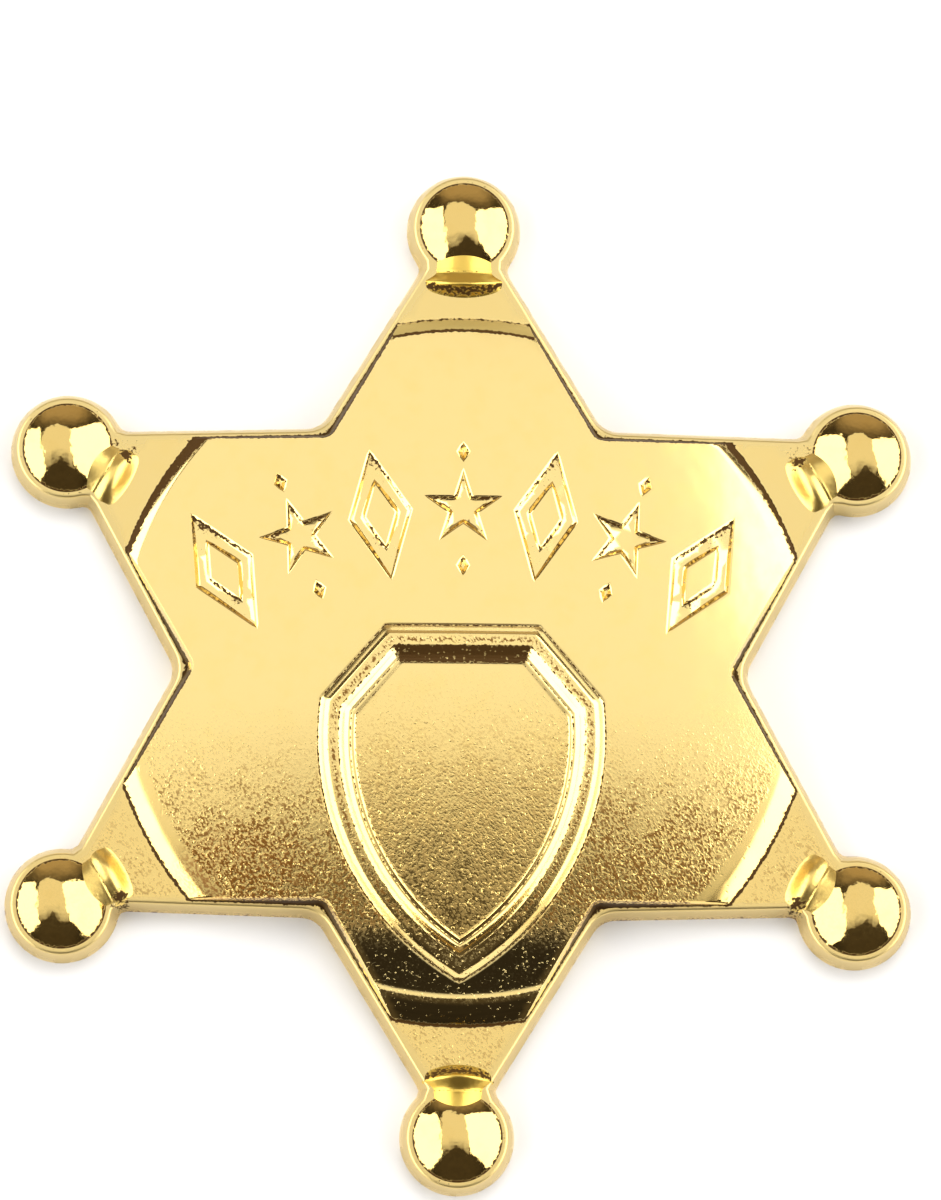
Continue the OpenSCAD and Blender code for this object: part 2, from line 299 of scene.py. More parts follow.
@dataclass(frozen=True)
class GoldFinish:
    """Gold plate over a casting: satin on the dome, mirror-like on the balls, with shade painted into its
    creases.

    Its heights, dome_r, and the place and size of the one brown stain on the dome are in metres. Each
    colour after the first two lies over it where the skin's marks or the noises ask for it.
    """

    colour: Colour = (1.0, 0.765, 0.305)
    worn: Colour = (1.0, 0.735, 0.245)
    # Painted shade: a deeper gold over the lower half of the dome.
    lower: Colour = (1.0, 0.67, 0.17)
    plate: Colour = (0.78, 0.58, 0.21)
    # Painted shade over the dark bottom round the shield's point.
    darkened: Colour = (0.26, 0.21, 0.10)
    stained: Colour = (0.42, 0.15, 0.03)
    speck: Colour = (0.15, 0.06, 0.008)
    # Painted shade on the plate's rim.
    edge: Colour = (0.62, 0.50, 0.23)
    shaded: Colour = (0.30, 0.22, 0.065)
    # The colour of the painted shade in the creases.
    deep: Colour = (0.054, 0.026, 0.006)
    stain_and_shade_at: Pair = (-0.0146, -0.0131)
    stain_and_shade_size: Pair = (0.0054, 0.0036)
    dome_r: float = 0.085
    flatten: float = 0.4
    roughness: float = 0.13
    grain: float = 1.0
    wave: float = 1.0
    wobble: float = 0.0
    speck_h: float = 0.00002
    pit_h: float = 0.000003
    soft_h: float = 0.000018
    dirt_h: float = 0.000026
    wave_h: float = 0.00003
    wobble_h: float = 0.00001

    def _height(self, at: GoldSurface) -> Socket:
        """Adds up the fine relief: specks, pits, grain, slow waves and wobble.

        Args:
            at: the surface's marks and noises.

        Returns:
            The height.
        """
        height = at.specks * (self.grain * self.speck_h) - at.pits * at.low * (self.grain * self.pit_h)
        height = height + (at.soft - 0.5) * (at.zone * 0.96 + 0.04) * (self.grain * self.soft_h)
        height = height + (at.dirt - 0.5) * at.zone * (self.grain * self.dirt_h)
        height = height + (at.broad - 0.5) * (self.wave * self.wave_h) * (1 - at.base * 0.7)
        return height + (at.patch - 0.5) * (self.wobble * self.wobble_h)

    def _normal(self, g: Graph, at: GoldSurface) -> Socket:
        """Leans the surface for what it mirrors.

        Args:
            g: the material's graph.
            at: the surface's marks and noises.

        Returns:
            The normal, with the fine relief in it.
        """
        # The real dome is flatter across than its sphere, which shows only in what it mirrors.
        level = at.x * (self.flatten / self.dome_r) * (1 - at.base)
        level = g.node("ShaderNodeCombineXYZ", {}, level, 0.0, 0.0)
        facing = g.node("ShaderNodeNewGeometry", {}, out="Normal")
        facing = g.node("ShaderNodeVectorMath", {"operation": "SUBTRACT"}, facing, level)
        facing = g.node("ShaderNodeVectorMath", {"operation": "NORMALIZE"}, facing)
        return g.node("ShaderNodeBump", {}, Strength=1.0, Distance=1.0, Height=self._height(at),
                      Normal=facing)

    def _tint(self, g: Graph, at: GoldSurface) -> Socket:
        """Lays the colours over each other.

        Args:
            g: the material's graph.
            at: the surface's marks and noises.

        Returns:
            The colour.
        """
        across, up = (
            (way - middle) / size for way, middle, size in zip((at.x, at.y), self.stain_and_shade_at, self.stain_and_shade_size))
        stain = (1 - across * across - up * up).step(0.0, 0.8) * at.dirt.step(0.35, 0.65)
        stain = stain * (1 - at.base) * (1 - at.rim) * self.grain
        tint = g.mix(at.patch.step(0.42, 0.75) * 0.4, self.colour, self.worn)
        # lower, darkened, edge and deep are painted shade; the stain and the specks are the casting's own.
        for share, colour in (
                (at.low * (1 - at.bottom) * (self.grain * 0.5), self.lower),
                (at.base * (self.grain * 0.5), self.plate),
                (at.dim * at.bottom * 0.85 * (1 - at.specks), self.darkened),
                (stain * 0.85, self.stained),
                (at.specked * 0.95, self.speck),
                (at.rim * 0.55, self.edge),
                (at.shade * 0.85, self.shaded),
                (at.crease_shade, self.deep)):
            tint = g.mix(share, tint, colour)
        return tint

    def material(self, name: str) -> bpy.types.Material:
        """Makes the material.

        Args:
            name: the material's name.

        Returns:
            The material.
        """
        made, g = new_material(name)
        at = GoldSurface(g, self.grain)
        metal = 1 - (at.crease_shade * 0.9).most(at.shade * 0.6).most(at.specked * 0.5)
        roughness = (at.patch - 0.5) * 0.08 - at.bottom * (self.grain * 0.06)
        roughness = roughness + at.base * 0.07 + at.rim * 0.18
        roughness = roughness + (at.crease_shade * 0.3).most(at.shade * 0.2) + self.roughness
        bsdf = g.node("ShaderNodeBsdfPrincipled", {}, Base_Color=self._tint(g, at), Metallic=metal,
                      Roughness=roughness, Specular_IOR_Level=0.08, Normal=self._normal(g, at))
        g.node("ShaderNodeOutputMaterial", {}, bsdf)
        return made


@dataclass(frozen=True)
class SteelFinish:
    """Plain plated steel for the pin, drawn along its wire and dull in patches."""

    colour: Colour = (0.62, 0.58, 0.50)
    dull: Colour = (0.45, 0.38, 0.28)
    roughness: float = 0.28
    streaks: Colour = (300.0, 9000.0, 9000.0)
    streak_h: float = 0.00002

    def material(self, name: str) -> bpy.types.Material:
        """Makes the material.

        Args:
            name: the material's name.

        Returns:
            The material.
        """
        made, g = new_material(name)
        place = g.node("ShaderNodeTexCoord", {}, out="Object")
        drawn = g.noise(g.node("ShaderNodeMapping", {}, place, Scale=self.streaks), 1.0)
        patch = g.noise(place, 800.0, 2.0)
        bump = g.node("ShaderNodeBump", {}, Strength=0.4, Distance=self.streak_h, Height=drawn)
        tint = g.mix(patch.step(0.45, 0.7) * 0.4, self.colour, self.dull)
        bsdf = g.node("ShaderNodeBsdfPrincipled", {}, Base_Color=tint, Metallic=1.0,
                      Roughness=(drawn - 0.5) * 0.15 + self.roughness, Normal=bump)
        g.node("ShaderNodeOutputMaterial", {}, bsdf)
        return made


@dataclass(frozen=True)
class PaperFinish:
    """Matt white paper for the floor."""

    colour: Colour = (0.60, 0.597, 0.595)
    fibre_shade: float = 0.985
    roughness: float = 0.9

    def material(self, name: str) -> bpy.types.Material:
        """Makes the material.

        Args:
            name: the material's name.

        Returns:
            The material.
        """
        made, g = new_material(name)
        fibre = g.noise(g.node("ShaderNodeTexCoord", {}, out="Object"), 2500.0)
        tint = g.mix(fibre, self.colour, tuple(self.fibre_shade * c for c in self.colour))
        bsdf = g.node("ShaderNodeBsdfPrincipled", {}, Base_Color=tint, Roughness=self.roughness)
        g.node("ShaderNodeOutputMaterial", {}, bsdf)
        return made


# Plan forms


def along(first: Sequence[float], last: Sequence[float], gap: float) -> Array:
    """Spaces points evenly on a line, without its last point.

    Args:
        first: the line's start.
        last: the line's end.
        gap: the largest distance between points.

    Returns:
        The points, one a row.
    """
    a, b = np.asarray(first, float), np.asarray(last, float)
    count = max(1, math.ceil(float(np.linalg.norm(b - a)) / gap))
    return a + np.linspace(0.0, 1.0, count, endpoint=False)[:, None] * (b - a)


def arc(centre: Sequence[float], radius: float, start: float, end: float, gap: float) -> Array:
    """Spaces points evenly on an arc, without its last point.

    Args:
        centre: the arc's centre.
        radius: its radius.
        start: the angle it starts at, anticlockwise from +X, in radians.
        end: the angle it ends at.
        gap: the largest distance between points.

    Returns:
        The points, one a row.
    """
    count = max(2, math.ceil(abs(end - start) * radius / gap))
    t = np.linspace(start, end, count, endpoint=False)
    return np.asarray(centre, float) + radius * np.stack([np.cos(t), np.sin(t)], 1)


def turned(points: Array, angle: float) -> Array:
    """Turns points about the origin, anticlockwise.

    Args:
        points: the points, one a row.
        angle: the angle in radians.

    Returns:
        The turned points.
    """
    c, s = math.cos(angle), math.sin(angle)
    return points @ np.array([[c, s], [-s, c]])


def inset_loop(loop: Array, distance: float, blunt: float = 0.15) -> Array:
    """Moves a closed anticlockwise loop inwards, each corner along its bisector.

    Args:
        loop: the loop's points, one a row.
        distance: how far in, or out if negative.
        blunt: how much sharp corners are held back, from 0 for not at all to 2.

    Returns:
        The moved points.
    """
    ahead = np.roll(loop, -1, 0) - loop
    ahead /= np.linalg.norm(ahead, axis=1)[:, None]
    left = np.stack([-ahead[:, 1], ahead[:, 0]], 1)
    before = np.roll(left, 1, 0)
    both = left + before
    return loop + distance * both / np.maximum(1.0 + (left * before).sum(1), blunt)[:, None]


def polygon_depth(points: Array, corners: Array) -> Array:
    """Measures how deep points lie inside a polygon.

    Args:
        points: the points, one a row.
        corners: the polygon's corners, one a row.

    Returns:
        The distance to the outline, negative outside.
    """
    best = np.full(len(points), np.inf)
    inside = np.zeros(len(points), bool)
    for a, b in zip(corners, np.roll(corners, -1, 0)):
        edge, reach = b - a, points - a
        share = np.clip(reach @ edge / (edge @ edge), 0.0, 1.0)
        best = np.minimum(best, np.linalg.norm(reach - share[:, None] * edge, axis=1))
        crosses = (a[1] > points[:, 1]) != (b[1] > points[:, 1])
        with np.errstate(divide="ignore", invalid="ignore"):
            at = a[0] + (points[:, 1] - a[1]) * edge[0] / edge[1]
        inside ^= crosses & (points[:, 0] < at)
    return np.where(inside, best, -best)


def on_level(measure: Callable[[Array], Array], seed: Array, level: float, turns: int = 6) -> Array:
    """Slides points down a measure's slope until they lie on one of its levels.

    Args:
        measure: the measure of each point.
        seed: where the points start.
        level: the level to reach.
        turns: how many steps to take.

    Returns:
        The points on the level.
    """
    points = seed.copy()
    ways = np.array([[NEAR, 0.0], [0.0, NEAR]])
    for _ in range(turns):
        value = measure(points)
        slope = np.stack([measure(points + way) - value for way in ways], 1) / NEAR
        points += ((level - value) / np.maximum((slope ** 2).sum(1), 0.05))[:, None] * slope
    return points


def ramp(values: Array, start: float, width: float) -> Array:
    """Rises from 0 to 1 over a stretch of values.

    Args:
        values: the values.
        start: where the rise starts.
        width: how far it goes on.

    Returns:
        The share for each value.
    """
    return np.clip((values - start) / width, 0.0, 1.0)


def ridge(values: Array, at: float, half: float) -> Array:
    """Falls off from 1 on both sides of a value, below 0 past the half width.

    Args:
        values: the values.
        at: where the ridge is.
        half: its half width.

    Returns:
        The height of the ridge for each value.
    """
    return 1.0 - np.abs(values - at) / half


def read_off(table: Sequence[Pair], values: Array | float) -> Array:
    """Reads a table of pairs, in straight lines between its places.

    Args:
        table: pairs of a place and a result.
        values: where to read.

    Returns:
        The result for each value.
    """
    places, results = zip(*table)
    return np.interp(values, places, results)


def soft_least(first: Array, second: Array, width: float) -> Array:
    """Takes the smaller of two measures, rounded off where they cross.

    Args:
        first: one measure.
        second: the other.
        width: how far from the crossing the rounding starts.

    Returns:
        The measure.
    """
    blend = np.maximum(width - np.abs(first - second), 0.0) / width
    return np.minimum(first, second) - blend ** 2 * width / 4


@dataclass(frozen=True)
class StarForm:
    """The star's outline, its dome and its hollow back, as measures over the plan.

    Reaches are from the star's middle. The dome's foot is the star moved in by foot_inset and cut off by a
    circle of foot_r. Its shoulders rise from there as a chamfer to the crown's edge, a circle of crown_r
    around a point that is crown_lift above the middle. A lean is the tangent of an angle from the upright.
    """

    tip_reach: float = 31.1
    arm_reach: float = 32.6
    notch_reach: float = 19.4
    notch_round: float = 1.8
    plate_t: float = 2.2
    disc_r: float = 3.9
    waist_blend: float = 0.55
    lift: float = 0.56
    foot_inset: float = 0.75
    foot_r: float = 24.2
    dome_notch: float = -0.25
    crown_r: float = 22.8
    crown_lift: float = 0.40
    curve_r: float = 85.0
    dome_z: float = -78.831
    wall_lean: float = math.tan(math.radians(11.0))
    edge_soft: float = 0.45
    chamfer: float = math.tan(math.radians(43.5))
    chamfer_soft: float = 0.2
    shoulder_least: float = 0.3
    roll: float = 0.10
    bead_h: float = 0.11
    bead_w: float = 0.25
    bead_in: float = 0.02
    bottom_from: float = 0.85
    rim_w: float = 2.6
    hollow_r: float = 22.3
    wall_t: float = 1.2
    hollow_lean: float = math.tan(math.radians(4.0))
    end_lean: float = math.tan(math.radians(5.0))
    seat_half: Pair = (12.5, 2.5)
    seat_y: float = 5.0
    arms: int = 6

    @property
    def sector(self) -> float:
        """The angle from one arm to the next."""
        return 2 * math.pi / self.arms

    @property
    def half_angle(self) -> float:
        """Half of the angle between an arm's edges."""
        n, half = self.notch_reach, self.sector / 2
        return math.atan(n * math.sin(half) / (self.arm_reach - n * math.cos(half)))

    @property
    def edge_dist(self) -> float:
        """Distance from the middle to each straight edge."""
        return self.arm_reach * math.sin(self.half_angle)

    @property
    def normal(self) -> Array:
        """The outward direction of the upper arm's right edge."""
        return np.array([math.cos(self.half_angle), math.sin(self.half_angle)])

    @property
    def rise(self) -> Array:
        """The direction of that edge, towards the tip."""
        return np.array([-math.sin(self.half_angle), math.cos(self.half_angle)])

    @property
    def middle(self) -> Array:
        """The star's middle. The real star sits a little above the middle of its six balls."""
        return np.array([0.0, self.lift])

    @property
    def tip(self) -> Array:
        """The middle of the top ball."""
        return np.array([0.0, self.tip_reach])

    @property
    def seat_z(self) -> float:
        """Height of the flat seat under the pin's bar."""
        corner = math.hypot(self.seat_half[0], self.seat_y + self.seat_half[1])
        return self.dome_z + math.sqrt((self.curve_r - self.wall_t) ** 2 - corner ** 2)

    def notch_centre(self, rounding: float) -> Array:
        """The middle of the inner corner's rounding, right of the upper arm."""
        reach = (self.edge_dist + rounding) / math.cos(self.sector - self.half_angle)
        return reach * np.array([math.sin(self.sector / 2), math.cos(self.sector / 2)])

    def fold(self, points: Array) -> Array:
        """Turns each point into the right half of the upper arm's sector.

        Args:
            points: the points, one a row.

        Returns:
            The turned points.
        """
        angle = np.arctan2(points[:, 0], points[:, 1])
        angle = np.abs(angle - np.round(angle / self.sector) * self.sector)
        out = np.linalg.norm(points, axis=1)
        return np.stack([out * np.sin(angle), out * np.cos(angle)], 1)

    def star_depth(self, points: Array, rounding: float | None = None) -> Array:
        """Measures how deep points lie inside the star's edges.

        Args:
            points: the points, one a row.
            rounding: the inner corners' radius at no depth, or None for the plate's own.

        Returns:
            The depths, negative outside.
        """
        radius = self.notch_round if rounding is None else rounding
        p = self.fold(points - self.middle)
        q = p - self.notch_centre(radius)
        around_notch = np.linalg.norm(q, axis=1) - radius
        return np.where(q @ self.rise < 0.0, around_notch, self.edge_dist - p @ self.normal)

    def disc_depth(self, points: Array) -> Array:
        """Measures how deep points lie inside the discs under the balls."""
        return self.disc_r - np.linalg.norm(self.fold(points) - self.tip, axis=1)

    def outline_depth(self, points: Array) -> Array:
        """Measures how deep points lie inside the star with its discs, blended at the waists."""
        return -soft_least(-self.star_depth(points), -self.disc_depth(points), self.waist_blend)

    def crown(self, out: Array) -> Array:
        """Height of the dome's sphere at each distance out."""
        return self.dome_z + np.sqrt(np.maximum(self.curve_r ** 2 - out ** 2, 0.0))

    def past_crown(self, points: Array) -> Array:
        """Measures how far points lie past the crown's edge, a circle a little above the middle."""
        return np.linalg.norm(points - self.middle - np.array([0.0, self.crown_lift]), axis=1) - self.crown_r

    def shoulder_share(self, points: Array) -> Array:
        """Says how far up the shoulder points lie, from 0 at its foot to 1 at the crown's edge."""
        inside = self.foot_r - np.linalg.norm(points - self.middle, axis=1)
        return inside / np.maximum(inside + self.past_crown(points), self.shoulder_least)

    def cap(self, points: Array) -> Array:
        """Height of the dome and its shoulder, a chamfer under a rolled edge with a bead at the bottom.

        Args:
            points: the points, one a row.

        Returns:
            The heights, as if the dome were round.
        """
        reach = points - self.middle
        out = np.linalg.norm(reach, axis=1)
        past = self.past_crown(points)
        roll = self.crown(out) - self.roll * np.maximum(past, 0.0) ** 2
        chamfer = self.plate_t + self.chamfer * (self.foot_r - out)
        top = soft_least(chamfer, roll, self.chamfer_soft)
        low = ramp(-reach[:, 1] / np.maximum(out, 1.0), self.bottom_from, 0.1)
        return top + low * self.bead_h * np.exp(-(((past - self.bead_in) / self.bead_w) ** 2))

    def dome_depth(self, points: Array) -> Array:
        """Measures how deep points lie inside the dome's foot."""
        return self.star_depth(points, self.dome_notch) - self.foot_inset

    def wall_gap(self, points: Array) -> Array:
        """Distance from the dome's top edge, negative on its wall."""
        return self.dome_depth(points) - (self.cap(points) - self.plate_t) * self.wall_lean

    def dome(self, points: Array) -> Array:
        """Height of the star-shaped dome, its top edges softened."""
        wall = self.plate_t + self.dome_depth(points) / self.wall_lean
        return soft_least(wall, self.cap(points), self.edge_soft)

    def _notch_arc(self, rounding: float, radius: float, gap: float) -> Array:
        """The rounded inner corner left of the upper arm, anticlockwise.

        Args:
            rounding: the inner corners' radius at no depth.
            radius: the arc's own radius.
            gap: the largest distance between points.

        Returns:
            The points, one a row.
        """
        corner = turned(self.notch_centre(rounding)[None], self.sector)[0]
        face = math.atan2(*(-self.normal * MIRROR)[::-1])
        return arc(corner, radius, face, face - 2 * (self.sector - self.half_angle), gap)

    def outline_seed(self, gap: float) -> Array:
        """Rough outline of the star with its discs, anticlockwise.

        Args:
            gap: the largest distance between points.

        Returns:
            The points, one a row.
        """
        notch = self.notch_centre(self.notch_round) - self.notch_round * self.normal
        start = self.edge_dist * self.normal
        lead, side = float((self.tip - start) @ self.rise), float((self.tip - start) @ self.normal)
        overlap, behind, apart = 0.6, 1.2, 0.05
        waist = start + self.rise * (lead - math.sqrt(self.disc_r ** 2 - side ** 2) + overlap)
        right_edge = along(notch, waist, gap)
        left_edge = np.concatenate([along(waist * MIRROR, notch * MIRROR, gap),
                                    self._notch_arc(self.notch_round, self.notch_round, gap)])
        loop = []
        for arm in range(self.arms):
            turn = arm * 2 * math.pi / self.arms
            right = turned(right_edge, turn) + self.middle
            disc = turned(arc(self.tip, self.disc_r, -behind, math.pi + behind, gap), turn)
            left = turned(left_edge, turn) + self.middle
            loop += [right[self.disc_depth(right) < apart], disc[self.star_depth(disc) < 0.0],
                     left[self.disc_depth(left) < apart]]
        return np.concatenate(loop)

    def cut_star(self, inset: float, radius: float, gap: float) -> Array:
        """The star's outline moved in and cut off by a circle, anticlockwise.

        Args:
            inset: how far in.
            radius: the circle's radius.
            gap: the largest distance between points.

        Returns:
            The points, one a row.
        """
        dist = self.edge_dist - inset
        rounding = self.dome_notch + inset
        notch = self.notch_centre(self.dome_notch) - rounding * self.normal
        end = dist * self.normal + self.rise * math.sqrt(radius ** 2 - dist ** 2)
        start = math.atan2(end[1], end[0])
        arm = np.concatenate([
            along(notch, end, gap),
            arc((0.0, 0.0), radius, start, math.pi - start, gap),
            along(end * MIRROR, notch * MIRROR, gap),
            self._notch_arc(self.dome_notch, rounding, min(gap, rounding / 4)),
        ])
        turns = [i * 2 * math.pi / self.arms for i in range(self.arms)]
        return np.concatenate([turned(arm, turn) for turn in turns]) + self.middle


@dataclass(frozen=True)
class ShieldForm:
    """The raised shield: its outline, and its moulding's section from outside to field."""

    top_y: float = 3.27
    top_half_w: float = 5.25
    half_w: float = 9.75
    shoulder_drop: float = 5.2
    widest_drop: float = 7.5
    length: float = 16.5
    section: tuple[Pair, ...] = (
        (-0.34, 0.0), (-0.18, 0.0), (-0.07, 0.0), (0.0, -0.03), (0.07, -0.03), (0.14, 0.02), (0.38, 0.26),
        (0.60, 0.46), (0.68, 0.50), (0.80, 0.505), (1.06, 0.50), (1.30, 0.50), (1.42, 0.52), (1.50, 0.46),
        (1.76, 0.18), (2.02, -0.09), (2.08, -0.12), (2.20, -0.12), (2.25, -0.15), (2.31, -0.13),
        (2.46, -0.13), (2.56, -0.19), (2.66, -0.20), (2.84, -0.20), (3.04, -0.20))

    @property
    def side_r(self) -> float:
        """Radius of the shield's sides."""
        return (self.length ** 2 + self.half_w ** 2) / (2 * self.half_w)

    @property
    def side_middle(self) -> Array:
        """The middle of its right side's arc."""
        return np.array([self.half_w - self.side_r, self.top_y - self.widest_drop])

    @property
    def shoulder_face(self) -> Array:
        """The outward direction of its right shoulder's straight edge."""
        slope = math.atan(self.shoulder_drop / (self.half_w - self.top_half_w))
        return np.array([math.sin(slope), math.cos(slope)])

    def depth(self, points: Array) -> Array:
        """Measures how deep points lie inside the shield.

        Args:
            points: the points, one a row.

        Returns:
            The depths, negative outside.
        """
        x, y = np.abs(points[:, 0]), points[:, 1]
        middle, face = self.side_middle, self.shoulder_face
        side = self.side_r - np.hypot(x - middle[0], y - middle[1])
        diagonal = (self.top_half_w - x) * face[0] + (self.top_y - y) * face[1]
        return np.minimum(np.minimum(side, diagonal), self.top_y - y)

    def outline(self, inset: float, gap: float) -> Array:
        """The outline moved in, anticlockwise, with points on its corners.

        Args:
            inset: how far in.
            gap: the largest distance between points.

        Returns:
            The points, one a row.
        """
        middle, face = self.side_middle, self.shoulder_face
        radius, top = self.side_r - inset, self.top_y - inset
        reach = self.top_half_w * face[0] + self.top_y * face[1] - inset
        first = np.array([(reach - top * face[1]) / face[0], top])
        run = np.array([face[1], -face[0]])
        base = reach * face - middle
        lead = -base @ run + math.sqrt((base @ run) ** 2 - base @ base + radius ** 2)
        second = reach * face + lead * run
        tip = np.array([0.0, middle[1] - math.sqrt(radius ** 2 - middle[0] ** 2)])
        end, start = (math.atan2(*(p - middle)[::-1]) for p in (second, tip))
        return np.concatenate([
            arc(middle, radius, start, end, gap),
            along(second, first, gap),
            along(first, first * MIRROR, gap),
            along(first * MIRROR, second * MIRROR, gap),
            arc(middle * MIRROR, radius, math.pi - end, math.pi - start, gap),
        ])

    def relief(self, points: Array) -> Array:
        """Height of the moulding and its field over the dome."""
        return read_off(self.section, self.depth(points))


@dataclass(frozen=True)
class OrnamentForm:
    """The arc of sunk lozenges and stars."""

    middle_y: float = 11.3
    arc_r: float = 32.3
    step: float = math.radians(10.0)
    each_side: int = 3
    lozenge_h: float = 9.3
    lozenge_w: float = 4.4
    stroke: float = 1.05
    star_r: float = 2.75
    pip: Pair = (0.9, 1.5)
    pip_gap: float = 0.45
    section: tuple[Pair, ...] = (
        (-0.30, 0.0), (-0.16, 0.0), (-0.06, 0.0), (0.01, -0.02), (0.07, -0.08), (0.25, -0.26),
        (0.31, -0.295), (0.37, -0.30))

    def _place(self, corners: Array, index: int) -> Array:
        """Turns a motif's corners to its place on the arc."""
        up = turned(corners + np.array([0.0, self.arc_r]), -index * self.step)
        return up + np.array([0.0, self.middle_y - self.arc_r])

    @staticmethod
    def _lozenge(width: float, height: float, at: float = 0.0) -> Array:
        """A lozenge's corners, anticlockwise."""
        return np.array([[0.0, at + height / 2], [-width / 2, at], [0.0, at - height / 2], [width / 2, at]])

    def _star(self) -> Array:
        """A five-pointed star's corners, anticlockwise, its edges in line from point to point.

        Returns:
            The corners, one a row.
        """
        corners = np.arange(10)
        inner = self.star_r * math.sin(math.radians(18)) / math.sin(math.radians(54))
        angles = np.radians(90 + 36 * corners)
        radii = np.where(corners % 2 == 0, self.star_r, inner)
        return radii[:, None] * np.stack([np.cos(angles), np.sin(angles)], 1)

    def outlines(self) -> list[tuple[Array, bool]]:
        """Lists the motifs' outlines.

        Returns:
            Each outline's corners, anticlockwise, and whether it bounds an island inside a motif.
        """
        found: list[tuple[Array, bool]] = []
        w, h = self.lozenge_w, self.lozenge_h
        share = 1 - 2 * self.stroke * math.hypot(w, h) / (w * h)
        away = self.star_r + self.pip_gap + self.pip[1] / 2
        for index in range(-self.each_side, self.each_side + 1):
            if index % 2:
                motif = [(self._lozenge(w, h), False), (self._lozenge(w * share, h * share), True)]
            else:
                motif = [(self._star(), False)]
                motif += [(self._lozenge(*self.pip, side * away), False) for side in (-1, 1)]
            found += [(self._place(corners, index), island) for corners, island in motif]
        return found

    def depth(self, points: Array) -> Array:
        """Measures how deep points lie inside the sunk motifs.

        Args:
            points: the points, one a row.

        Returns:
            The depths, negative outside and on the islands.
        """
        best = np.full(len(points), -9.0)
        for corners, island in self.outlines():
            here = polygon_depth(points, corners)
            best = np.minimum(best, -here) if island else np.maximum(best, here)
        return best

    def relief(self, points: Array) -> Array:
        """Height of the sunk motifs under the dome."""
        return read_off(self.section, self.depth(points))


# Mesh helpers


def finish_object(obj: bpy.types.Object, material: bpy.types.Material) -> bpy.types.Object:
    """Gives a piece its finish and ties it to the part.

    Args:
        obj: the piece.
        material: its material.

    Returns:
        The piece.
    """
    obj.data.materials.clear()
    obj.data.materials.append(material)
    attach(obj, "root")
    LOG.info("%s: %d faces", obj.name, len(obj.data.polygons))
    return obj


def linked(name: str, data: bpy.types.ID) -> bpy.types.Object:
    """Puts an object into the scene.

    Args:
        name: its name.
        data: its mesh, camera or light.

    Returns:
        The object.
    """
    obj = bpy.data.objects.new(name, data)
    bpy.context.scene.collection.objects.link(obj)
    return obj


def only(obj: bpy.types.Object) -> None:
    """Selects one object alone and makes it active.

    Args:
        obj: the object.
    """
    bpy.ops.object.select_all(action="DESELECT")
    obj.select_set(True)
    bpy.context.view_layer.objects.active = obj


@contextmanager
def editing(obj: bpy.types.Object) -> Iterator[None]:
    """Opens an object in edit mode with all of it selected, and closes it again.

    Args:
        obj: the object.

    Yields:
        Nothing, once the object is open.
    """
    only(obj)
    bpy.ops.object.mode_set(mode="EDIT")
    bpy.ops.mesh.select_all(action="SELECT")
    yield
    bpy.ops.object.mode_set(mode="OBJECT")


def smooth(obj: bpy.types.Object, degrees: float) -> None:
    """Shades an object smooth, with edges sharper than an angle kept sharp."""
    only(obj)
    bpy.ops.object.shade_smooth_by_angle(angle=math.radians(degrees), keep_sharp_edges=True)


def places_of(mesh: bpy.types.Mesh) -> Array:
    """Reads where a mesh's points are.

    Args:
        mesh: the mesh.

    Returns:
        The places in metres, one a row.
    """
    flat = np.empty(len(mesh.vertices) * 3)
    mesh.vertices.foreach_get("co", flat)
    return flat.reshape(-1, 3)


def move_points(mesh: bpy.types.Mesh, places: Array) -> None:
    """Moves a mesh's points to new places, in metres."""
    mesh.vertices.foreach_set("co", places.ravel())
    mesh.update()


def store(mesh: bpy.types.Mesh, name: str, values: Array) -> None:
    """Stores a value from 0 to 1 for each of a mesh's points, for a finish to read."""
    layer = mesh.attributes.new(name, "FLOAT", "POINT")
    layer.data.foreach_set("value", np.clip(values, 0.0, 1.0).astype(np.float32))


def stored(mesh: bpy.types.Mesh, name: str) -> Array:
    """Reads back what was stored for each of a mesh's points.

    Args:
        mesh: the mesh.
        name: what the values are stored as.

    Returns:
        The values.
    """
    values = np.empty(len(mesh.vertices))
    mesh.attributes[name].data.foreach_get("value", values)
    return values


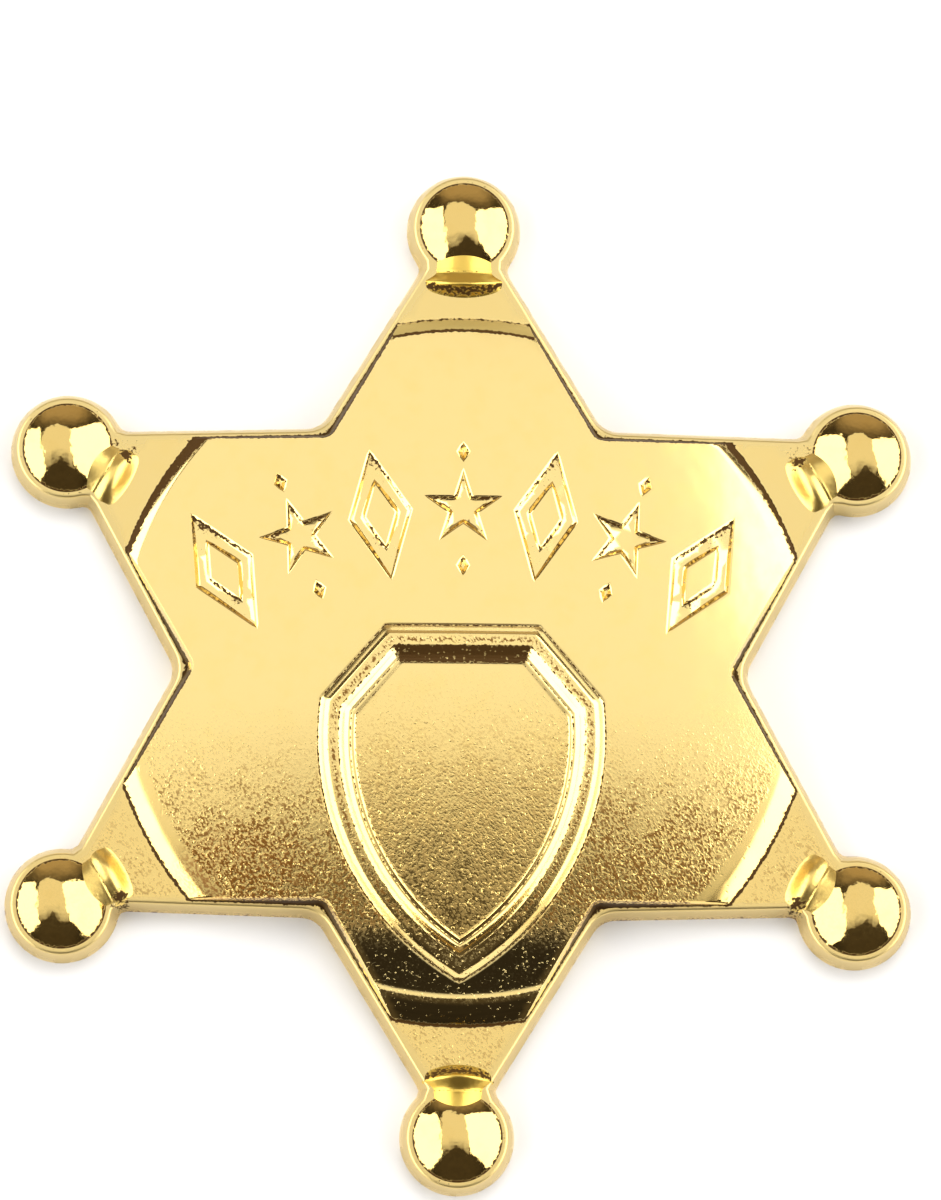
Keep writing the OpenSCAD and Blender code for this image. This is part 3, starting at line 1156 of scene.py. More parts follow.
class Plan:
    """Loops and loose points over the plan, joined into one triangle net."""

    def __init__(self) -> None:
        """Starts with nothing."""
        self.points: list[Array] = []
        self.edges: list[tuple[int, int]] = []
        self.count = 0

    def add(self, points: Array, closed: bool = True) -> None:
        """Adds a loop or a line.

        Args:
            points: its points, one a row.
            closed: whether its last point joins its first.
        """
        n, first = len(points), self.count
        self.edges += [(first + i, first + (i + 1) % n) for i in range(n if closed else n - 1)]
        self.points.append(points)
        self.count += n

    def add_polygon(self, corners: Array, gap: float) -> None:
        """Adds a polygon's outline, with points along its sides.

        Args:
            corners: its corners, one a row.
            gap: the largest distance between points.
        """
        self.add(np.concatenate([along(a, b, gap) for a, b in zip(corners, np.roll(corners, -1, 0))]))

    def scatter(self, gap: float, reach: float, keep: Callable[[Array], Array], clear: float) -> None:
        """Adds loose points on a triangular grid, away from the lines.

        Args:
            gap: the distance between points.
            reach: how far the grid goes each way.
            keep: says which points to keep.
            clear: the least distance from a line's point.
        """
        row = np.arange(-reach, reach, gap)
        rows = np.arange(-reach, reach, gap * math.sqrt(0.75))
        grid = np.concatenate([
            np.stack([row + (i % 2) * gap / 2, np.full(len(row), y)], 1) for i, y in enumerate(rows)])
        grid = grid[keep(grid)]
        taken = np.concatenate(self.points)
        tree = kdtree.KDTree(len(taken))
        for i, p in enumerate(taken):
            tree.insert((p[0], p[1], 0.0), i)
        tree.balance()
        free = [p for p in grid if tree.find((p[0], p[1], 0.0))[2] > clear]
        self.points.append(np.array(free))
        self.count += len(free)

    def net(self) -> tuple[Array, Array]:
        """Joins everything into triangles.

        Returns:
            The points, one a row, and the triangles' corners, one triangle a row.
        """
        every = np.concatenate(self.points)
        out = delaunay_2d_cdt([Vector(p) for p in every], self.edges, [], 0, 1e-5, False)
        return np.array([tuple(v) for v in out[0]]), np.array([tuple(f) for f in out[2]])


# Pieces


class Tip(Enum):
    """The star's tips, anticlockwise."""

    TOP = 0
    UPPER_LEFT = 1
    LOWER_LEFT = 2
    BOTTOM = 3
    LOWER_RIGHT = 4
    UPPER_RIGHT = 5

    @property
    def turn(self) -> float:
        """The angle from the top tip, anticlockwise."""
        return self.value * math.pi / 3


@dataclass(frozen=True)
class SkinMarks:
    """What the gold finish has to know of each point of the casting's face.

    A heading says where a point lies around the middle: -1 is towards the bottom tip and 1 towards the top
    tip. The arcs are the bands of painted shade over the dome's six round ends, and their tables give a
    value for each heading. The moulding's lines of painted shade are triples of a depth inside the shield, a
    half width and a force, and a groove, line or edge is a place and a half width. wall_from is for the
    walls that face up and for those that face down, where shade is painted on them.
    """

    form: StarForm
    shield: ShieldForm
    ornament: OrnamentForm
    points: Array
    foot_half: float = 0.09
    beyond_force: float = 9.0
    wall_from: Pair = (0.10, -0.12)
    wall_soft: float = 0.05
    wall_facing: float = 0.35
    arc_over: float = 0.07
    arc_widths: tuple[Pair, ...] = (
        (-0.95, 0.22), (-0.85, 0.20), (-0.1, 0.20), (0.1, 0.28), (0.3, 0.31), (0.5, 0.48), (0.68, 0.86),
        (0.8, 0.88), (0.95, 0.14))
    arc_forces: tuple[Pair, ...] = ((0.8, 1.0), (0.95, 0.6))
    arc_rags: tuple[Pair, ...] = ((-0.1, 0.10), (0.2, 0.34), (0.8, 0.34), (0.95, 0.14))
    right_arc_share: float = 0.75
    top_from: float = 0.8
    top_line: Pair = (0.93, 0.18)
    top_line_force: float = 1.3
    top_shade_w: float = 1.02
    cap_groove: Pair = (3.11, 0.12)
    moulding: tuple[tuple[float, float, float], ...] = (
        (0.03, 0.09, 1.0), (0.72, 0.08, 0.5), (1.44, 0.08, 0.75), (2.24, 0.07, 0.75), (2.54, 0.07, 0.7))
    top_slope: Pair = (1.47, 2.5)
    top_slope_force: float = 0.85
    moulding_top: Pair = (1.06, 0.4)
    motif_edge: Pair = (0.14, 0.17)
    # Painted shade beside the four side necks.
    neck_shade_spot: Pair = (1.95, 3.6)
    neck_shade_spread: float = 0.3
    neck_shade_strength: float = 0.85
    bead: float = 1.8
    calm_to: float = 3.0
    plate_rim: float = 0.78
    field_from: float = 2.4

    @property
    def out(self) -> Array:
        """Distance from the star's middle."""
        return np.maximum(np.linalg.norm(self.points - self.form.middle, axis=1), 1e-6)

    @property
    def inner(self) -> Array:
        """Distance inside the circle of the dome's foot."""
        return self.form.foot_r - self.out

    @property
    def heading(self) -> Array:
        """Where the points lie around the middle, from -1 at the bottom to 1 at the top."""
        return (self.points - self.form.middle)[:, 1] / self.out

    @property
    def gap(self) -> Array:
        """Distance inside the dome's top edge."""
        return self.form.wall_gap(self.points)

    @property
    def depth(self) -> Array:
        """Distance inside the dome's foot."""
        return self.form.dome_depth(self.points)

    @property
    def rail(self) -> Array:
        """Distance inside the shield."""
        return self.shield.depth(self.points)

    def _fall(self, measure: Callable[[Array], Array]) -> Array:
        """How fast a measure falls towards the top tip."""
        return -(measure(self.points + np.array([0.0, NEAR])) - measure(self.points)) / NEAR

    def _walls(self) -> Array:
        """Marks painted shade in the crease at the dome's foot, and on its walls where they face up or down.

        Returns:
            The creases.
        """
        depth, gap, facing = self.depth, self.gap, self._fall(self.form.dome_depth)
        beyond = np.maximum(-self.inner, 0.0) * self.beyond_force
        foot = 1.0 - (np.abs(depth) + beyond) / self.foot_half
        upper, lower = ((start - gap) / self.wall_soft for start in self.wall_from)
        wall = np.where(facing > self.wall_facing, upper, np.where(facing < -self.wall_facing, lower, -1.0))
        outside = np.abs(depth) * (depth < 0) + beyond
        return np.maximum(foot, np.clip(wall, 0.0, 1.0) * (1.0 - ramp(outside, 0.0, self.wall_soft)))

    def _arcs(self) -> Array:
        """Marks the painted shade of the dark bands over the dome's round ends, and of the line above the
        top end's shade.

        Returns:
            The creases.
        """
        heading, inner = self.heading, self.inner
        outside = np.maximum(-self.depth, 0.0) * self.beyond_force
        over = np.clip(ridge(np.maximum(-inner, 0.0), 0.0, self.arc_over) - outside, 0.0, 1.0)
        width = read_off(self.arc_widths, heading)
        to_right = (self.points[:, 0] > 0) & (heading > 0) & (heading < 0.85)
        width *= np.where(to_right, self.right_arc_share, 1.0)
        arcs = np.clip((width - inner) / read_off(self.arc_rags, heading) + 0.5, 0.0, 1.0)
        arcs *= over * read_off(self.arc_forces, heading)
        line = ramp(heading, self.top_from, 0.15) * ridge(inner, *self.top_line) * self.top_line_force
        return np.maximum(arcs, line * (self.gap > -0.1))

    def _moulding(self) -> Array:
        """Marks painted shade on the lines along the shield's moulding, and on its inner slope at the top.

        Returns:
            The creases.
        """
        rail = self.rail
        lines = np.max([ridge(rail, at, half) * force for at, half, force in self.moulding], axis=0)
        on_top = np.abs(self.shield.top_y - self.points[:, 1] - rail) < 1e-6
        start, end = self.top_slope
        return np.maximum(lines, np.where(on_top & (rail > start) & (rail < end), self.top_slope_force, 0.0))

    def _motifs(self) -> Array:
        """Marks painted shade on the sunk motifs' edges, most of all the upper ones."""
        upper = np.clip(self._fall(self.ornament.depth) * 1.3, 0.25, 1.0)
        return ridge(self.ornament.depth(self.points), *self.motif_edge) * upper

    def _neck_shades(self) -> Array:
        """Marks the painted shade beside the four side necks.

        Returns:
            The creases.
        """
        shades = np.zeros(len(self.points))
        across, down = self.neck_shade_spot
        for tip, side in zip(Tip, BallTip().side_marks):
            if side:
                spot = turned(np.array([[side * across, self.form.tip_reach - down]]), tip.turn)
                spread = np.exp(-((self.points - spot) ** 2).sum(1) / self.neck_shade_spread)
                shades = np.maximum(shades, self.neck_shade_strength * spread)
        return shades

    def _shade(self) -> Array:
        """Marks the shaded slope of the dome's top end.

        Returns:
            The marks.
        """
        inner = self.inner
        shade = ramp(self.heading, self.form.bottom_from, 0.1) * ramp(inner, -0.02, 0.1)
        return shade * ramp(-inner, -self.top_shade_w, 0.12) * (self.depth > -0.02)

    def _grained(self) -> Array:
        """Marks the moulding's flat top and the bead along the bottom shoulder, which are grained.

        Returns:
            The marks.
        """
        bead = np.clip(0.8 - np.abs(self.inner - self.bead) / 0.6, 0.0, 1.0)
        bead *= (self.heading < -self.form.bottom_from) * (self.gap > 0)
        return np.maximum(ridge(self.rail, *self.moulding_top), bead)

    def _calm(self) -> Array:
        """Marks the shoulders and the moulding, which have little grain.

        Returns:
            The marks.
        """
        inner, rail = self.inner, self.rail
        calm = ramp(-self.form.shoulder_share(self.points), -1.3, 0.2) * (self.depth > 0)
        calm *= (inner < self.calm_to) * (inner > -0.15)
        return np.maximum(calm, np.where((rail > 0.05) & (rail < 2.6), 0.8, 0.0))

    def _base(self) -> Array:
        """Marks the flat plate around the dome."""
        return np.clip(np.maximum(-self.depth / 0.1, -self.inner / 0.1), 0.0, 1.0)

    def _dim(self) -> Array:
        """Marks the dome's darkest part, around the shield's point, where shade is painted."""
        dim = ramp(-self.heading, 0.75, 0.1) * ramp(np.abs(self.inner - self.bead), 0.2, 0.2)
        return dim * ramp(-self.rail, 0.0, 0.12) * ramp(self.gap, 0.3, 0.2) * (1.0 - self._base())

    def every(self) -> dict[str, Array]:
        """Works out all marks.

        Returns:
            Each mark's values by the name that the gold finish reads it by.
        """
        form = self.form
        from_tip = np.linalg.norm(form.fold(self.points) - form.tip, axis=1)
        # The crease mark is painted shade: on walls, arcs, the ring round each ball, the moulding, the
        # motifs and beside the side necks.
        creases = (self._walls(), self._arcs(), ridge(from_tip, *self.cap_groove), self._moulding(),
                   self._motifs(), self._neck_shades())
        return {
            "crease": np.max(creases, axis=0),
            "dim": self._dim(),
            "base": self._base(),
            "shade": self._shade(),
            "grained": self._grained(),
            "calm": self._calm(),
            "rim": ramp(-form.outline_depth(self.points), -self.plate_rim, 0.12),
            "field": ramp(self.rail, self.field_from, 0.3),
        }


@dataclass
class Casting:
    """The gold casting's skin. Its dome, walls, moulding and sunk ornament run into each other in one
    polished face, so it is laid as one net over the plan, with rows of points along every edge."""

    form: StarForm = StarForm()
    shield: ShieldForm = ShieldForm()
    ornament: OrnamentForm = OrnamentForm()
    gap: float = 0.4
    grid: float = 0.85
    back_grid: float = 1.5
    plan_reach: float = 34.0
    wall_section: tuple[Pair, ...] = (
        (0.0, 0.0), (0.22, 1.02), (0.40, 1.86), (0.43, 1.99), (0.475, 2.10), (0.53, 2.17), (0.60, 2.198),
        (0.69, 2.20))
    edge_rows: tuple[float, ...] = (-2.2, -1.0, -0.4, 0.3, 1.0, 1.8, 3.0)
    shoulder_rows: tuple[float, ...] = (
        -0.25, -0.09, 0.04, 0.15, 0.24, 0.33, 0.42, 0.5, 0.58, 0.64, 0.7, 0.76, 0.82, 0.87, 0.92, 0.97, 1.02,
        1.07, 1.12, 1.2, 1.3)
    edge_clear: float = 0.003
    top_clear: float = 0.2
    merge: float = 0.003
    crisp_deg: float = 32.0
    hollow_rows: tuple[float, ...] = (1.2, 2.4, 3.3)
    hollow_edge: float = 0.27
    seat_rows: tuple[float, ...] = (0.0, 0.03, 0.08)

    def face_height(self, points: Array) -> Array:
        """Height of the badge's face over the plan.

        Args:
            points: the points, one a row.

        Returns:
            The heights.
        """
        form = self.form
        plate = read_off(self.wall_section, form.outline_depth(points))
        relief = self.shield.relief(points) + self.ornament.relief(points)
        on_top = form.wall_gap(points) > self.top_clear
        return np.maximum(plate, form.dome(points) + np.where(on_top, relief, 0.0))

    def back_height(self, points: Array) -> Array:
        """Height of the badge's back over the plan.

        Args:
            points: the points, one a row.

        Returns:
            The heights.
        """
        form = self.form
        out = np.linalg.norm(points - form.middle, axis=1)
        side = (form.star_depth(points, form.dome_notch) - form.rim_w) / form.hollow_lean
        end = (form.hollow_r - out) / form.end_lean
        inside_r = form.curve_r - form.wall_t
        ceiling = form.dome_z + np.sqrt(inside_r ** 2 - np.linalg.norm(points, axis=1) ** 2)
        past = np.maximum(np.abs(points[:, 0]) - form.seat_half[0],
                          np.abs(points[:, 1] - form.seat_y) - form.seat_half[1])
        seat = form.seat_z + np.maximum(past, 0.0) / form.hollow_lean
        return np.maximum(np.minimum(np.minimum(side, end), np.minimum(ceiling, seat)), 0.0)

    def _face_plan(self) -> Plan:
        """Lays out the lines of the face.

        Returns:
            The plan.
        """
        form, plan, gap = self.form, Plan(), self.gap
        seed = form.outline_seed(gap)
        for depth, _ in self.wall_section:
            plan.add(on_level(form.outline_depth, inset_loop(seed, depth), depth))
        plan.add(form.cut_star(form.foot_inset, form.foot_r, gap))
        self._edge_lines(plan)
        self._shoulder_lines(plan)
        for inset, _ in self.shield.section:
            plan.add(self.shield.outline(inset, gap * 0.9))
        for corners, island in self.ornament.outlines():
            for depth, _ in self.ornament.section:
                blunt = 0.8 if abs(depth) > 0.15 else 0.15
                plan.add_polygon(inset_loop(corners, -depth if island else depth, blunt), gap * 1.3)
        plan.scatter(self.grid, self.plan_reach, lambda p: form.outline_depth(p) > 0.9, 0.3)
        return plan

    def _edge_lines(self, plan: Plan) -> None:
        """Adds the rows along the dome's top edges.

        Args:
            plan: the plan to add to.
        """
        form = self.form
        seed = form.cut_star(form.foot_inset + 0.3, form.foot_r - 0.03, self.gap)
        for row in self.edge_rows:
            level = row * form.edge_soft * form.wall_lean
            loop = on_level(form.wall_gap, seed, level, 10)
            reached = np.abs(form.wall_gap(loop) - level) < self.edge_clear
            keep = reached & (form.shoulder_share(loop) > 0.03) & (form.dome_depth(loop) > 0.01)
            for run in self._runs(loop, keep):
                plan.add(run, closed=False)

    def _shoulder_lines(self, plan: Plan) -> None:
        """Adds the rows over the dome's shoulders.

        Args:
            plan: the plan to add to.
        """
        form = self.form
        sweep = np.linspace(-0.5, 0.5, 61)
        for share in self.shoulder_rows:
            for arm in range(form.arms):
                aim = turned(np.stack([np.sin(sweep), np.cos(sweep)], 1), arm * form.sector)
                width = form.foot_r - form.crown_r - form.crown_lift * aim[:, 1]
                row = form.middle + aim * (form.foot_r - share * width)[:, None]
                room = form.star_depth(row) - 0.8 if share < 0 else form.wall_gap(row)
                row = row[room > 0.16]
                if len(row) > 2:
                    count = max(3, math.ceil(float(np.linalg.norm(row[-1] - row[0])) / self.gap))
                    pick = np.linspace(0, len(row) - 1, count)
                    row = np.stack([np.interp(pick, np.arange(len(row)), row[:, k]) for k in (0, 1)], 1)
                    plan.add(row, closed=False)

    @staticmethod
    def _runs(loop: Array, keep: Array) -> list[Array]:
        """Splits a loop into the stretches that are kept.

        Args:
            loop: the loop's points, one a row.
            keep: which points are kept.

        Returns:
            Each stretch of two points or more.
        """
        if keep.all():
            return [np.concatenate([loop, loop[:1]])]
        start = int(np.argmin(keep))
        loop, keep = np.roll(loop, -start, 0), np.roll(keep, -start)
        stretches = np.split(loop, np.flatnonzero(~keep))
        return [stretch[1:] for stretch in stretches if len(stretch) > 2]

    def _back_plan(self) -> Plan:
        """Lays out the lines of the back.

        Returns:
            The plan.
        """
        form, plan, gap = self.form, Plan(), self.gap * 1.5
        plan.add(on_level(form.outline_depth, form.outline_seed(self.gap), 0.0))
        plan.add(form.cut_star(form.rim_w, form.hollow_r, gap))
        for up in self.hollow_rows:
            inset, radius = form.rim_w + up * form.hollow_lean, form.hollow_r - up * form.end_lean
            plan.add(form.cut_star(inset, radius, gap))
        plan.add(form.cut_star(form.rim_w + self.hollow_edge, form.hollow_r - self.hollow_edge, gap))
        for grow in self.seat_rows:
            w, h = form.seat_half[0] + grow, form.seat_half[1] + grow
            corners = np.array([[w, h], [-w, h], [-w, -h], [w, -h]]) + np.array([0.0, form.seat_y])
            plan.add_polygon(corners, gap)
        plan.scatter(self.back_grid, self.plan_reach, lambda p: form.outline_depth(p) > 0.6, 0.5)
        return plan

    def _layer(self, plan: Plan, height: Callable[[Array], Array], up: bool) -> tuple[Array, Array]:
        """Lifts one side's net to its heights.

        Args:
            plan: the side's plan.
            height: its heights over the plan.
            up: whether it faces up.

        Returns:
            The points, one a row, and the triangles' corners, one triangle a row.
        """
        points, corners = plan.net()
        inside = self.form.outline_depth(points[corners].mean(1)) > 0.0
        z = height(points)
        if not up:
            z = np.where(self.form.outline_depth(points) < 1e-3, 0.0, z)
        return np.column_stack([points, z]), corners[inside] if up else corners[inside][:, ::-1]

    def build(self, material: bpy.types.Material) -> bpy.types.Object:
        """Builds and dresses the casting.

        Args:
            material: the gold finish.

        Returns:
            The piece.
        """
        face, face_corners = self._layer(self._face_plan(), self.face_height, True)
        back, back_corners = self._layer(self._back_plan(), self.back_height, False)
        every = np.concatenate([face, back])
        corners = np.concatenate([face_corners, back_corners + len(face)])
        mesh = bpy.data.meshes.new("gold_star")
        mesh.from_pydata((every * MM).tolist(), [], corners.tolist())
        front = np.arange(len(every)) < len(face)
        for name, values in SkinMarks(self.form, self.shield, self.ornament, every[:, :2]).every().items():
            store(mesh, name, np.where(front, values, 0.0))
        obj = linked("gold_star", mesh)
        with editing(obj):
            bpy.ops.mesh.delete_loose(use_verts=True, use_edges=True, use_faces=False)
            bpy.ops.mesh.select_all(action="SELECT")
            bpy.ops.mesh.remove_doubles(threshold=self.merge * MM)
        smooth(obj, self.crisp_deg)
        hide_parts(Part.CASTING.value)
        return finish_object(obj, material)


def turn_mesh(mesh: bpy.types.Mesh, angle: float) -> None:
    """Turns a mesh about the vertical axis, anticlockwise from above.

    Args:
        mesh: the mesh.
        angle: the angle in radians.
    """
    places = places_of(mesh)
    places[:, :2] = turned(places[:, :2], angle)
    move_points(mesh, places)


@dataclass(frozen=True)
class NeckForm:
    """One kind of neck: how it falls to the arm, and the shape of its end.

    Its falls are pairs: a distance from the ball's middle, and the share of its height that is left there.
    Its flare is the share of its width that is kept at its end, and its bulge is how far the middle of its
    end reaches past its sides.
    """

    falls: tuple[Pair, ...]
    flare: float
    bulge: float


@dataclass
class BallTip:
    """A ball's cap and the turned neck that joins it to its arm.

    The neck's section holds pairs of a distance from the ball's middle and a radius. neck_spreads widens
    the six necks in the order of Tip, and side_marks says in the same order where shade is painted on a
    neck's end: 1 for its +X side and -1 for its -X side, as it stands at the top tip, and 0 for the whole
    end.
    """

    plate_t: float = 2.2
    reach: float = 31.1
    cap_r: float = 3.05
    cap_h: float = 1.15
    cap_rows: int = 26
    cap_sink: float = 0.3
    cap_foot_in: float = 0.12
    cap_edge_in: float = 0.03
    cap_edge_dip: float = 0.06
    groove_w: float = 0.22
    groove_soft: float = 0.18
    groove_force: float = 0.8
    turn_steps: int = 120
    turn_merge: float = 0.002
    cut_merge: float = 0.012
    crisp_deg: float = 40.0
    neck_sink: float = 1.8
    neck_foot: float = 0.25
    neck_spreads: tuple[float, ...] = (1.08, 1.0, 0.98, 0.93, 0.98, 1.0)
    neck_section: tuple[Pair, ...] = (
        (1.60, 2.46), (2.30, 2.46), (2.85, 2.48), (3.02, 2.50), (3.10, 2.52), (3.17, 2.49), (3.24, 2.50),
        (3.40, 2.58), (3.58, 2.69), (3.76, 2.80), (3.94, 2.91), (4.06, 2.97), (4.14, 3.00), (4.20, 3.02),
        (4.26, 3.03), (4.32, 3.03), (4.38, 3.03), (4.45, 3.03), (4.52, 3.03), (4.60, 3.03), (4.68, 3.03),
        (4.77, 3.03), (4.87, 3.03), (5.00, 3.03))
    upright: NeckForm = NeckForm(
        falls=((4.06, 1.0), (4.14, 0.97), (4.22, 0.90), (4.30, 0.80), (4.40, 0.62), (4.50, 0.43),
               (4.60, 0.26), (4.70, 0.14), (4.80, 0.06), (4.90, 0.02), (5.00, 0.0)),
        flare=1.0, bulge=0.5)
    sideways: NeckForm = NeckForm(
        falls=((3.30, 1.0), (3.45, 0.98), (3.62, 0.93), (3.80, 0.85), (4.00, 0.72), (4.20, 0.55),
               (4.40, 0.37), (4.60, 0.20), (4.77, 0.08), (4.90, 0.02), (5.00, 0.0)),
        flare=0.82, bulge=0.25)
    half_w: float = 2.6
    bend: float = 0.12
    bend_run: Pair = (2.8, 0.3)
    flare_run: Pair = (3.4, 0.8)
    end_dip: float = 0.03
    end_from: float = 4.12
    end_to: float = 5.05
    end_soft: Pair = (0.22, 0.5)
    end_force: float = 0.70
    ring: Pair = (3.17, 0.08)
    stain_and_shade_at: Pair = (1.6, 3.7)
    stain_and_shade_size: Pair = (0.5, 0.6)
    side_shade_force: float = 1.2
    side_marks: tuple[int, ...] = (0, 1, -1, 0, 1, -1)

    def _spun(self, name: str, section: Sequence[Pair]) -> bpy.types.Object:
        """Turns a section about the vertical axis through the origin.

        Args:
            name: the object's name.
            section: pairs of a distance out and a height.

        Returns:
            The turned object, in metres.
        """
        bpy.ops.object.select_all(action="DESELECT")
        bpy.ops.mesh.primitive_plane_add(size=MM, location=(0, 0, 0))
        obj = bpy.context.object
        obj.name = obj.data.name = name
        with editing(obj):
            bpy.ops.mesh.merge(type="CENTER")
            out, up = section[0]
            bpy.ops.transform.translate(value=(out * MM, 0, up * MM))
            for (x0, z0), (x1, z1) in zip(section, section[1:]):
                step = ((x1 - x0) * MM, 0, (z1 - z0) * MM)
                bpy.ops.mesh.extrude_region_move(TRANSFORM_OT_translate={"value": step})
            bpy.ops.mesh.select_all(action="SELECT")
            bpy.ops.mesh.spin(steps=self.turn_steps, angle=2 * math.pi, center=(0, 0, 0), axis=(0, 0, 1))
            bpy.ops.mesh.select_all(action="SELECT")
            bpy.ops.mesh.remove_doubles(threshold=self.turn_merge * MM)
            bpy.ops.mesh.normals_make_consistent(inside=False)
        return obj

    def cap(self) -> bpy.types.Object:
        """Turns the ball's cap, with a foot that goes into the plate.

        Returns:
            The cap.
        """
        ball = (self.cap_r ** 2 + self.cap_h ** 2) / (2 * self.cap_h)
        top, foot = self.plate_t + self.cap_h, self.plate_t - self.cap_sink
        section = [(0.0, foot), (self.cap_r - self.cap_foot_in, foot),
                   (self.cap_r - self.cap_edge_in, self.plate_t - self.cap_edge_dip)]
        section += [(ball * math.sin(a), top - ball + ball * math.cos(a))
                    for a in np.linspace(math.asin(self.cap_r / ball), 0.0, self.cap_rows)]
        obj = self._spun("ball_cap", section)
        out = np.hypot(*places_of(obj.data)[:, :2].T) / MM
        # Painted shade in a thin ring round the cap's foot, where it meets the plate.
        groove = (out - self.cap_r + self.groove_w) / self.groove_soft
        store(obj.data, "crease", np.minimum(groove, self.groove_force))
        return obj

    def neck(self, kind: NeckForm) -> bpy.types.Object:
        """Turns a neck and lays it down, its upper half showing.

        Args:
            kind: the neck's kind.

        Returns:
            The neck, towards -Y.
        """
        radii = [(radius, along_neck) for along_neck, radius in self.neck_section]
        obj = self._spun("neck", [(0.0, radii[0][1]), *radii, (0.0, radii[-1][1])])
        foot = (0, 0, (self.plate_t - self.neck_foot) * MM)
        with editing(obj):
            bpy.ops.transform.rotate(value=math.pi / 2, orient_axis="X", center_override=(0, 0, 0))
            bpy.ops.transform.translate(value=(0, 0, (self.plate_t - self.neck_sink) * MM))
            bpy.ops.mesh.bisect(plane_co=foot, plane_no=(0, 0, 1), clear_inner=True)
            bpy.ops.mesh.select_all(action="SELECT")
            bpy.ops.mesh.remove_doubles(threshold=self.cut_merge * MM)
            bpy.ops.mesh.select_mode(type="EDGE")
            bpy.ops.mesh.select_all(action="DESELECT")
            bpy.ops.mesh.select_non_manifold()
            bpy.ops.mesh.edge_face_add()
            bpy.ops.mesh.select_mode(type="VERT")
        self._bend(obj.data, kind)
        with editing(obj):
            bpy.ops.mesh.normals_make_consistent(inside=False)
        return obj

    def _bend(self, mesh: bpy.types.Mesh, kind: NeckForm) -> None:
        """Bends a neck's end and ring, lets it fall to the arm, and stores where its end and ring are.

        Args:
            mesh: the neck's mesh.
            kind: the neck's kind.
        """
        places = places_of(mesh)
        away, over = np.abs(places[:, 1]) / MM, places[:, 2] / MM - self.plate_t
        share, fall = ramp(away, *self.flare_run), read_off(kind.falls, away)
        across = (places[:, 0] / MM / self.half_w) ** 2
        bend = self.bend * ramp(away, *self.bend_run) + (kind.bulge - self.bend) * share
        places[:, 0] *= 1 - (1 - kind.flare) * share
        places[:, 1] = -(away - across * bend) * MM
        height = np.where(over > 0, over * fall, over) - self.end_dip * (1 - fall)
        places[:, 2] = (self.plate_t + height) * MM
        move_points(mesh, places)
        inner_soft, outer_soft = self.end_soft
        end = np.minimum((away - self.end_from) / inner_soft, (self.end_to - away) / outer_soft)
        store(mesh, "end", end)
        store(mesh, "ring", ridge(away, *self.ring) - 0.5)

    def _paint_neck_shade(self, mesh: bpy.types.Mesh, side: int) -> None:
        """Marks the painted shade on a neck: at its ring and at its end, as the casting's own necks differ.

        Args:
            mesh: the neck's mesh, at the top tip's place.
            side: 0 for all of its end, or the side where shade is painted, 1 for +X and -1 for -X.
        """
        end, places = stored(mesh, "end"), places_of(mesh)
        # Painted shade at one side of the neck's end, or over all of it.
        if side:
            over = side * places[:, 0] / MM - self.stain_and_shade_at[0]
            down = self.reach - places[:, 1] / MM - self.stain_and_shade_at[1]
            wide, long = self.stain_and_shade_size
            end = self.side_shade_force * np.exp(-(over / wide) ** 2 - (down / long) ** 2)
        store(mesh, "crease", np.maximum(end * self.end_force, stored(mesh, "ring")))

    def _copy(self, model: bpy.types.Object, label: str, tip: Tip) -> bpy.types.Object:
        """Copies a model to one of the tips.

        Args:
            model: the model, around the origin.
            label: what it is, for its name.
            tip: the tip.

        Returns:
            The copy, with its own mesh.
        """
        copy = linked(f"{label}_{tip.name.lower()}", model.data.copy())
        is_neck = label == "neck"
        with editing(copy):
            bpy.ops.transform.translate(value=(0, self.reach * MM, 0))
            if is_neck:
                spread = (self.neck_spreads[tip.value], 1, 1)
                bpy.ops.transform.resize(value=spread, center_override=(0, 0, 0))
        if is_neck:
            self._paint_neck_shade(copy.data, self.side_marks[tip.value])
        turn_mesh(copy.data, tip.turn)
        return copy

    def build(self, ball: bpy.types.Material, collar: bpy.types.Material,
              soft: bpy.types.Material) -> list[bpy.types.Object]:
        """Builds and dresses the six tips.

        Args:
            ball: the balls' finish.
            collar: the finish of the upright necks.
            soft: the finish of the four side necks.

        Returns:
            The pieces.
        """
        ends = (Tip.TOP, Tip.BOTTOM)
        sides = [tip for tip in Tip if tip not in ends]
        made = []
        for model, label, material, tips in (
                (self.cap(), "cap", ball, Tip),
                (self.neck(self.upright), "neck", collar, ends),
                (self.neck(self.sideways), "neck", soft, sides)):
            smooth(model, self.crisp_deg)
            made += [finish_object(self._copy(model, label, tip), material) for tip in tips]
            bpy.data.objects.remove(model)
        return made


def dress_pin(material: bpy.types.Material) -> None:
    """Gives the CAD's own pin its finish.

    Args:
        material: the finish.
    """
    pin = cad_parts[Part.PIN.value]
    pin.data.materials.clear()
    pin.data.materials.append(material)
    LOG.info("%s: the CAD node in its finish", pin.name)


# Studio


@dataclass(frozen=True)
class Lamp:
    """The broad lamp that lights the floor and leaves no glint on the gold, in metres and watts."""

    size: float = 0.8
    power: float = 16.0
    colour: Colour = (1.0, 0.985, 0.97)
    place: tuple[float, float, float] = (0.1, 0.85, 1.25)

    def build(self) -> None:
        """Hangs the lamp over the badge, turned towards it."""
        data = bpy.data.lights.new("broad_lamp", "AREA")
        data.shape = "DISK"
        data.size, data.energy, data.color = self.size, self.power, self.colour
        obj = linked("broad_lamp", data)
        obj.location = self.place
        obj.rotation_euler = (-obj.location).to_track_quat("-Z", "Y").to_euler()
        obj.visible_glossy = False
        obj.visible_camera = False


